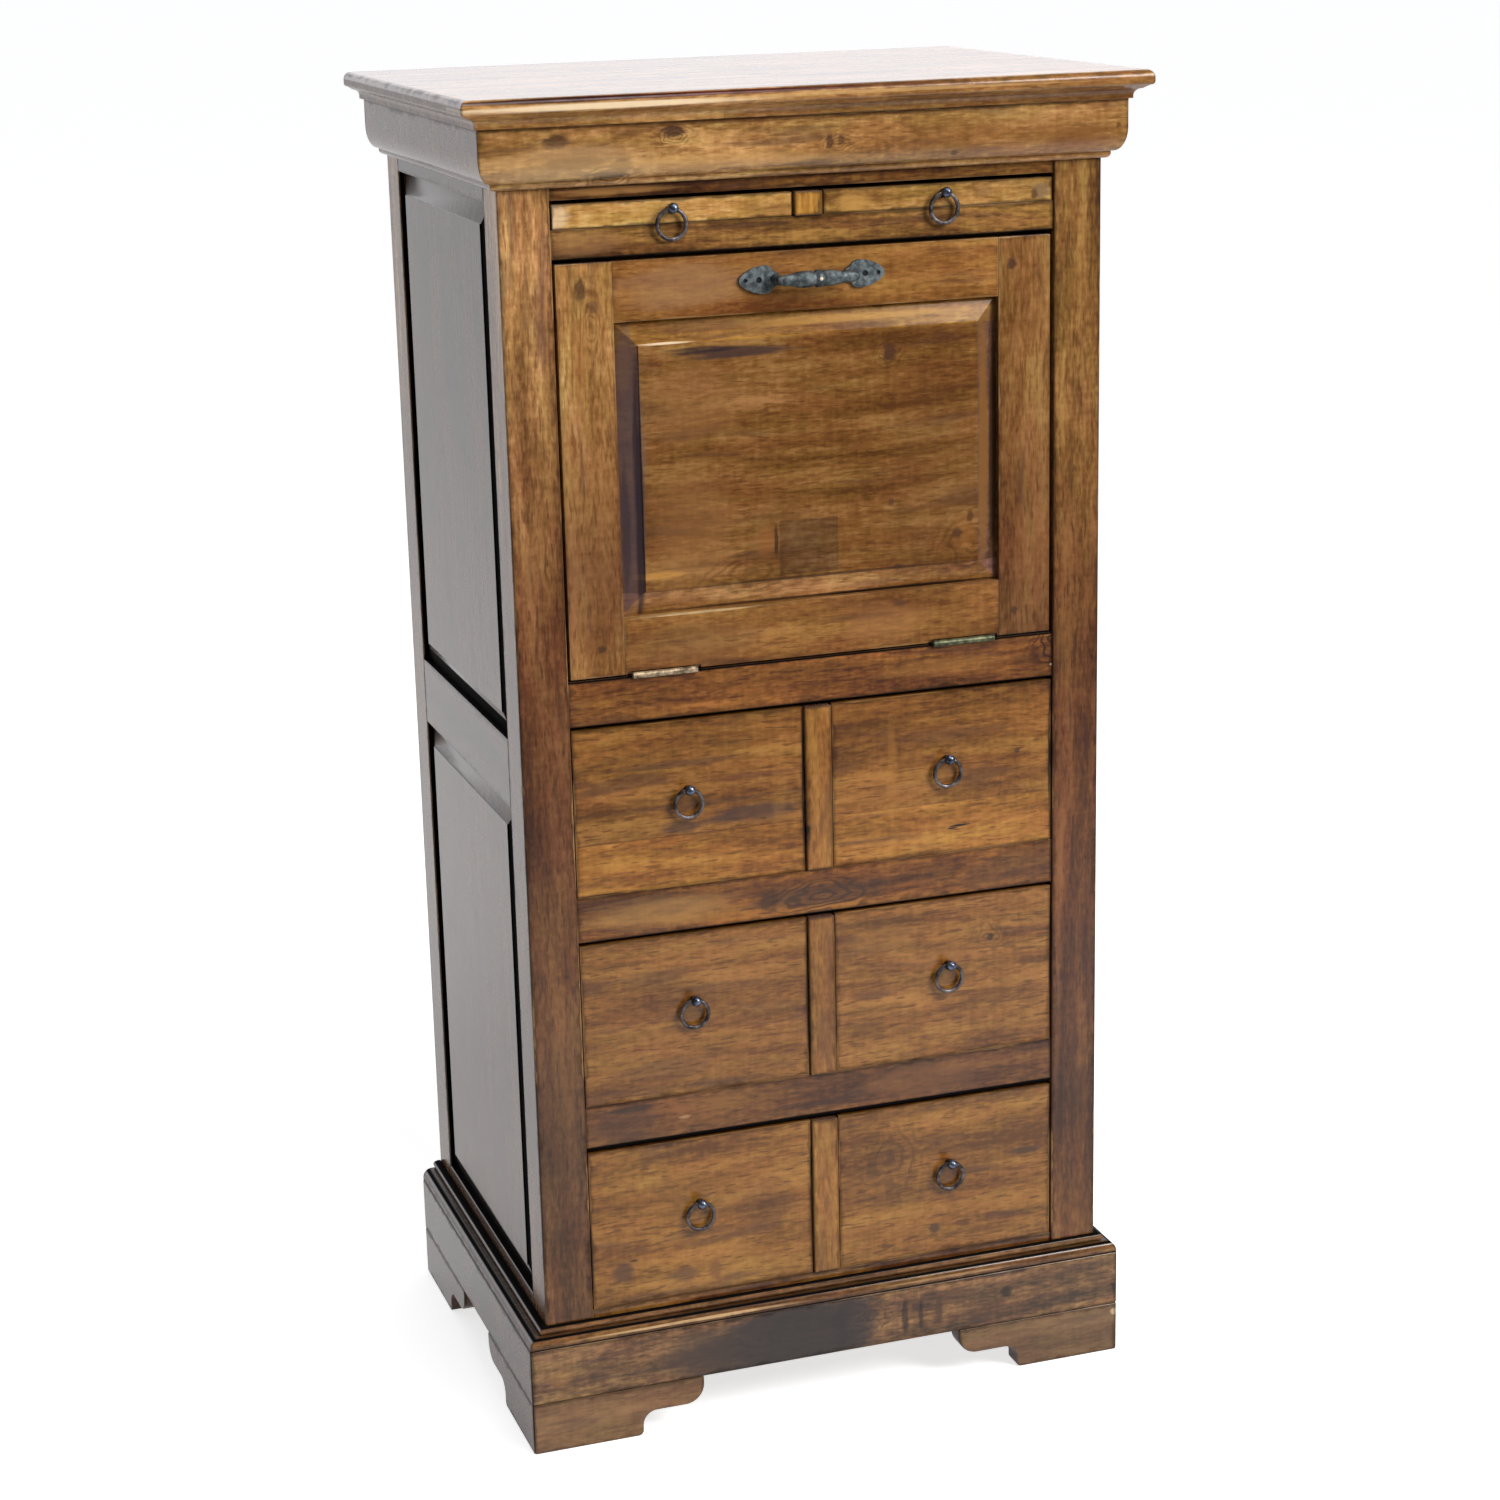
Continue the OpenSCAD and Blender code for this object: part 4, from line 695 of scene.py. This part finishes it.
# Drawers: each has a front cut from its own hardwood board, and behind it a plain tray of two
# sides, a back and a bottom. They run on the ledges inside.
# The long thin near-black marks down the fronts' side edges are painted shade in the gaps beside them.
drawer_marks = {
    "upper_left": dict(joint=(565, (1.35, 1.32, 1.15), 0.35), spots=(
        (-130, 630, 150, 9, dark_tint, 0.6), (-60, 612, 110, 8, (96, 52, 34), 0.6),
        (-110, 592, 180, 8, dark_tint, 0.5), (-60, 578, 110, 20, violet_tint, 0.75),
        (-128, 572, 46, 14, violet_tint, 0.7), (-202, 519, 46, 2, knot_black_and_gap_shade, 0.9), (-225, 595, 3, 158, knot_black_and_gap_shade, 0.8),
        (-36, 600, 18, 130, (170, 122, 56), 0.15), (-14, 600, 3.5, 170, knot_black_and_gap_shade, 1.0))),
    "upper_right": dict(joint=(565, (1.3, 1.3, 1.15), 0.2), swirls=((190, 570, 80, 60, 0.2),), spots=(
        (135, 542, 24, 3, knot_black_and_gap_shade, 1.0), (128, 540, 12, 3, knot_black_and_gap_shade, 0.9), (120, 629, 160, 18, dark_tint, 0.4),
        (192, 606, 6, 8, dark_tint, 0.8), (70, 600, 12, 120, (176, 122, 52), 0.25),
        (224.5, 602, 5, 170, knot_black_and_gap_shade, 1.0))),
    "middle_left": dict(spots=(
        (-13.5, 399, 3.5, 158, knot_black_and_gap_shade, 0.95), (-225, 399, 3, 158, knot_black_and_gap_shade, 0.8), (-150, 349, 120, 26, dark_tint, 0.4),
        (-90, 420, 110, 12, dark_tint, 0.3))),
    "middle_right": dict(swirls=((165, 431, 60, 50, 0.35),), spots=(
        (225, 399, 3, 158, knot_black_and_gap_shade, 0.9), (165, 431, 9, 9, knot_black_and_gap_shade, 0.75), (60, 444, 90, 30, gold_tint, 0.3))),
    "lower_left": dict(planks=((-300, 300, 100, 300, (1.12, 1.15, 1.1)),), spots=(
        (-13.5, 203, 3.5, 158, knot_black_and_gap_shade, 0.95), (-225, 203, 3, 158, knot_black_and_gap_shade, 0.8),
        (-196, 158, 26, 26, (84, 56, 38), 0.8), (-138, 146, 34, 20, (88, 60, 42), 0.6),
        (-108, 146, 16, 24, (116, 72, 40), 0.7), (-186, 168, 10, 3, knot_black_and_gap_shade, 0.8),
        (-60, 204, 80, 60, dark_tint, 0.25))),
    "lower_right": dict(
        planks=((-300, 300, 100, 300, (1.05, 1.07, 1.02)),), swirls=((66, 222, 90, 110, 0.45),),
        spots=((225, 203, 3, 158, knot_black_and_gap_shade, 0.9), (108, 151, 15, 12, dark_tint, 0.85),
               (200, 215, 44, 9, dark_tint, 0.85), (62, 214, 70, 60, dark_tint, 0.2))),
}
for number, (row_side, marks) in enumerate(drawer_marks.items()):
    body = row_side + "_drawer"
    front_wood = wood(body + "_wood", (160, 113, 58), (129, 85, 37), (88, 52, 18), "X", seed=20.0 + 1.7 * number,
                      pores=0.7, **marks)
    boards(body + "_front", body + "_face", body, front_wood, "X", 0.0009)
    boards(body + "_box", body + "_tray", body, plain_wood, "Y", 0.0005, 1)


# Slides: two boards of paler wood that pull out over the fall front, each with a strip of the
# same wood glued along its front edge. They run between strips inside the cabinet.
# The pale mark at the left slide's left end is a painted highlight, and the black line beside it painted shade in
# the gap.
slide_marks = {
    "left": ((214, 177, 122), (180, 137, 78), (132, 92, 46), (
        (-222, 1109, 30, 30, (240, 214, 180), 0.45), (-225.5, 1109, 5, 40, knot_black_and_gap_shade, 1.0))),
    "right": ((192, 154, 100), (150, 112, 60), (104, 70, 32), (
        (160, 1109, 26, 14, (120, 88, 56), 0.5), (214, 1106, 20, 18, (120, 96, 70), 0.8),
        (208, 1104, 8, 12, dark_tint, 0.7), (40, 1106, 40, 20, (196, 150, 80), 0.5))),
}
for side, (light, middle, dark, spots) in slide_marks.items():
    body = side + "_slide"
    slide_wood = wood(body + "_wood", light, middle, dark, "X", seed=31.0 + (side == "right"), clouds=0.5,
                      edge_stain_and_shade=0.75, edge_reach=0.003, rub_and_highlight=0.1, spots=spots)
    boards(body + "_board", body + "_leaf", body, slide_wood, "X", 0.0012)


# Iron: the forged handle on the fall front, and a ball pull with a ring on every drawer and slide.
# Blackened and waxed, with a painted highlight on the handle's bead.

def forged(name, dark, pale, metallic, rough, marks=(), tints=None, outline=0.0):
    """marks: (x, z, radius, colour) in mm for screw heads and a painted highlight.
    tints: a second pair of colours for what lies right of the middle.
    outline: how dark the metal is painted where it curves away from view, a painted shade."""
    made = bpy.data.materials.new(name)
    made.use_nodes = True
    made.node_tree.nodes.clear()
    b = Bench(made.node_tree)
    place = b.node("TexCoord").outputs["Object"]
    apart = b.node("SeparateXYZ")
    b.put(place, apart.inputs[0])
    scale = b.range(b.noise(place, 4.0, 0.6, 160.0), 0.35, 0.7)
    hammer = b.noise(place, 2.0, 0.5, 420.0)
    colour = b.mix(scale, stain(*dark), stain(*pale))
    if outline:
        # Painted shade: the metal darkens where it turns away from the view.
        glance = b.node("LayerWeight")
        colour = b.mix(b.range(glance.outputs["Facing"], 0.3, 0.75, 0.0, outline), colour, stain(6, 6, 10))
    if tints:
        other = b.mix(scale, stain(*tints[0]), stain(*tints[1]))
        colour = b.mix(b.math("GREATER_THAN", apart.outputs["X"], 0.0), colour, other)
    for x, z, radius, tint in marks:
        away = b.vector("MULTIPLY", b.vector("SUBTRACT", place, (x / 1000, 0, z / 1000)), (1, 0, 1))
        near = b.range(b.vector("LENGTH", away, out="Value"), radius * 0.0008, radius * 0.0012, 1.0, 0.0)
        colour = b.mix(near, colour, stain(*tint))
    shader = b.node("BsdfPrincipled")
    b.put(colour, shader.inputs["Base Color"])
    shader.inputs["Metallic"].default_value = metallic
    b.put(b.range(hammer, 0.3, 0.7, rough - 0.08, rough + 0.12), shader.inputs["Roughness"])
    bump = b.node("Bump")
    bump.inputs["Strength"].default_value = 0.5
    bump.inputs["Distance"].default_value = 0.0004
    b.put(hammer, bump.inputs["Height"])
    b.put(bump.outputs[0], shader.inputs["Normal"])
    b.put(shader.outputs[0], b.node("OutputMaterial").inputs[0])
    return made


def smooth_metal(node, name, body, finish):
    piece = merged_copy(node, name)
    bpy.ops.object.shade_smooth_by_angle(angle=math.radians(40))
    fit_out(piece, finish, body, node)


# The pale mark on the handle's bead is a painted highlight.
hole, painted_bead_highlight = (14, 18, 24), (220, 208, 188)
handle_iron = forged("handle_iron", (50, 59, 64), (114, 124, 126), 0.45, 0.58, outline=0.5, marks=(
    (-58.1, 1045.5, 1.8, hole), (-45.9, 1045.5, 2.6, hole), (62.1, 1045.5, 1.8, hole), (49.9, 1045.5, 2.6, hole),
    (2.3, 1046, 1.5, painted_bead_highlight)))
ring_iron = forged("ring_iron", (52, 46, 48), (122, 114, 114), 0.65, 0.38, outline=0.95)
ball_iron = forged("ball_iron", (52, 60, 76), (128, 142, 168), 0.85, 0.3, outline=1.0)
smooth_metal("fall_handle", "forged_handle", "fall", handle_iron)
for body in [row_side + "_drawer" for row_side in drawer_marks] + ["left_slide", "right_slide"]:
    smooth_metal(body + "_pull", body + "_ball", body, ball_iron)
    smooth_metal(body + "_ring", body + "_drop_ring", body + "_ring", ring_iron)


# Brass: two dull, aged butt hinges under the fall front, screwed to it and to the rail below, and
# the two arc stays that hold it level, with the eyes on the legs that they run through.
hinge_brass = forged("hinge_brass", (84, 70, 52), (206, 184, 150), 0.55, 0.42,
                     tints=((54, 60, 42), (112, 114, 84)))
smooth_metal("cabinet_hinge_leaves", "lower_hinge_leaves", "cabinet", hinge_brass)
smooth_metal("fall_hinge_leaves", "upper_hinge_leaves", "fall", hinge_brass)
smooth_metal("stay_guides", "stay_eyes", "cabinet", hinge_brass)
smooth_metal("fall_stays", "arc_stays", "fall", hinge_brass)
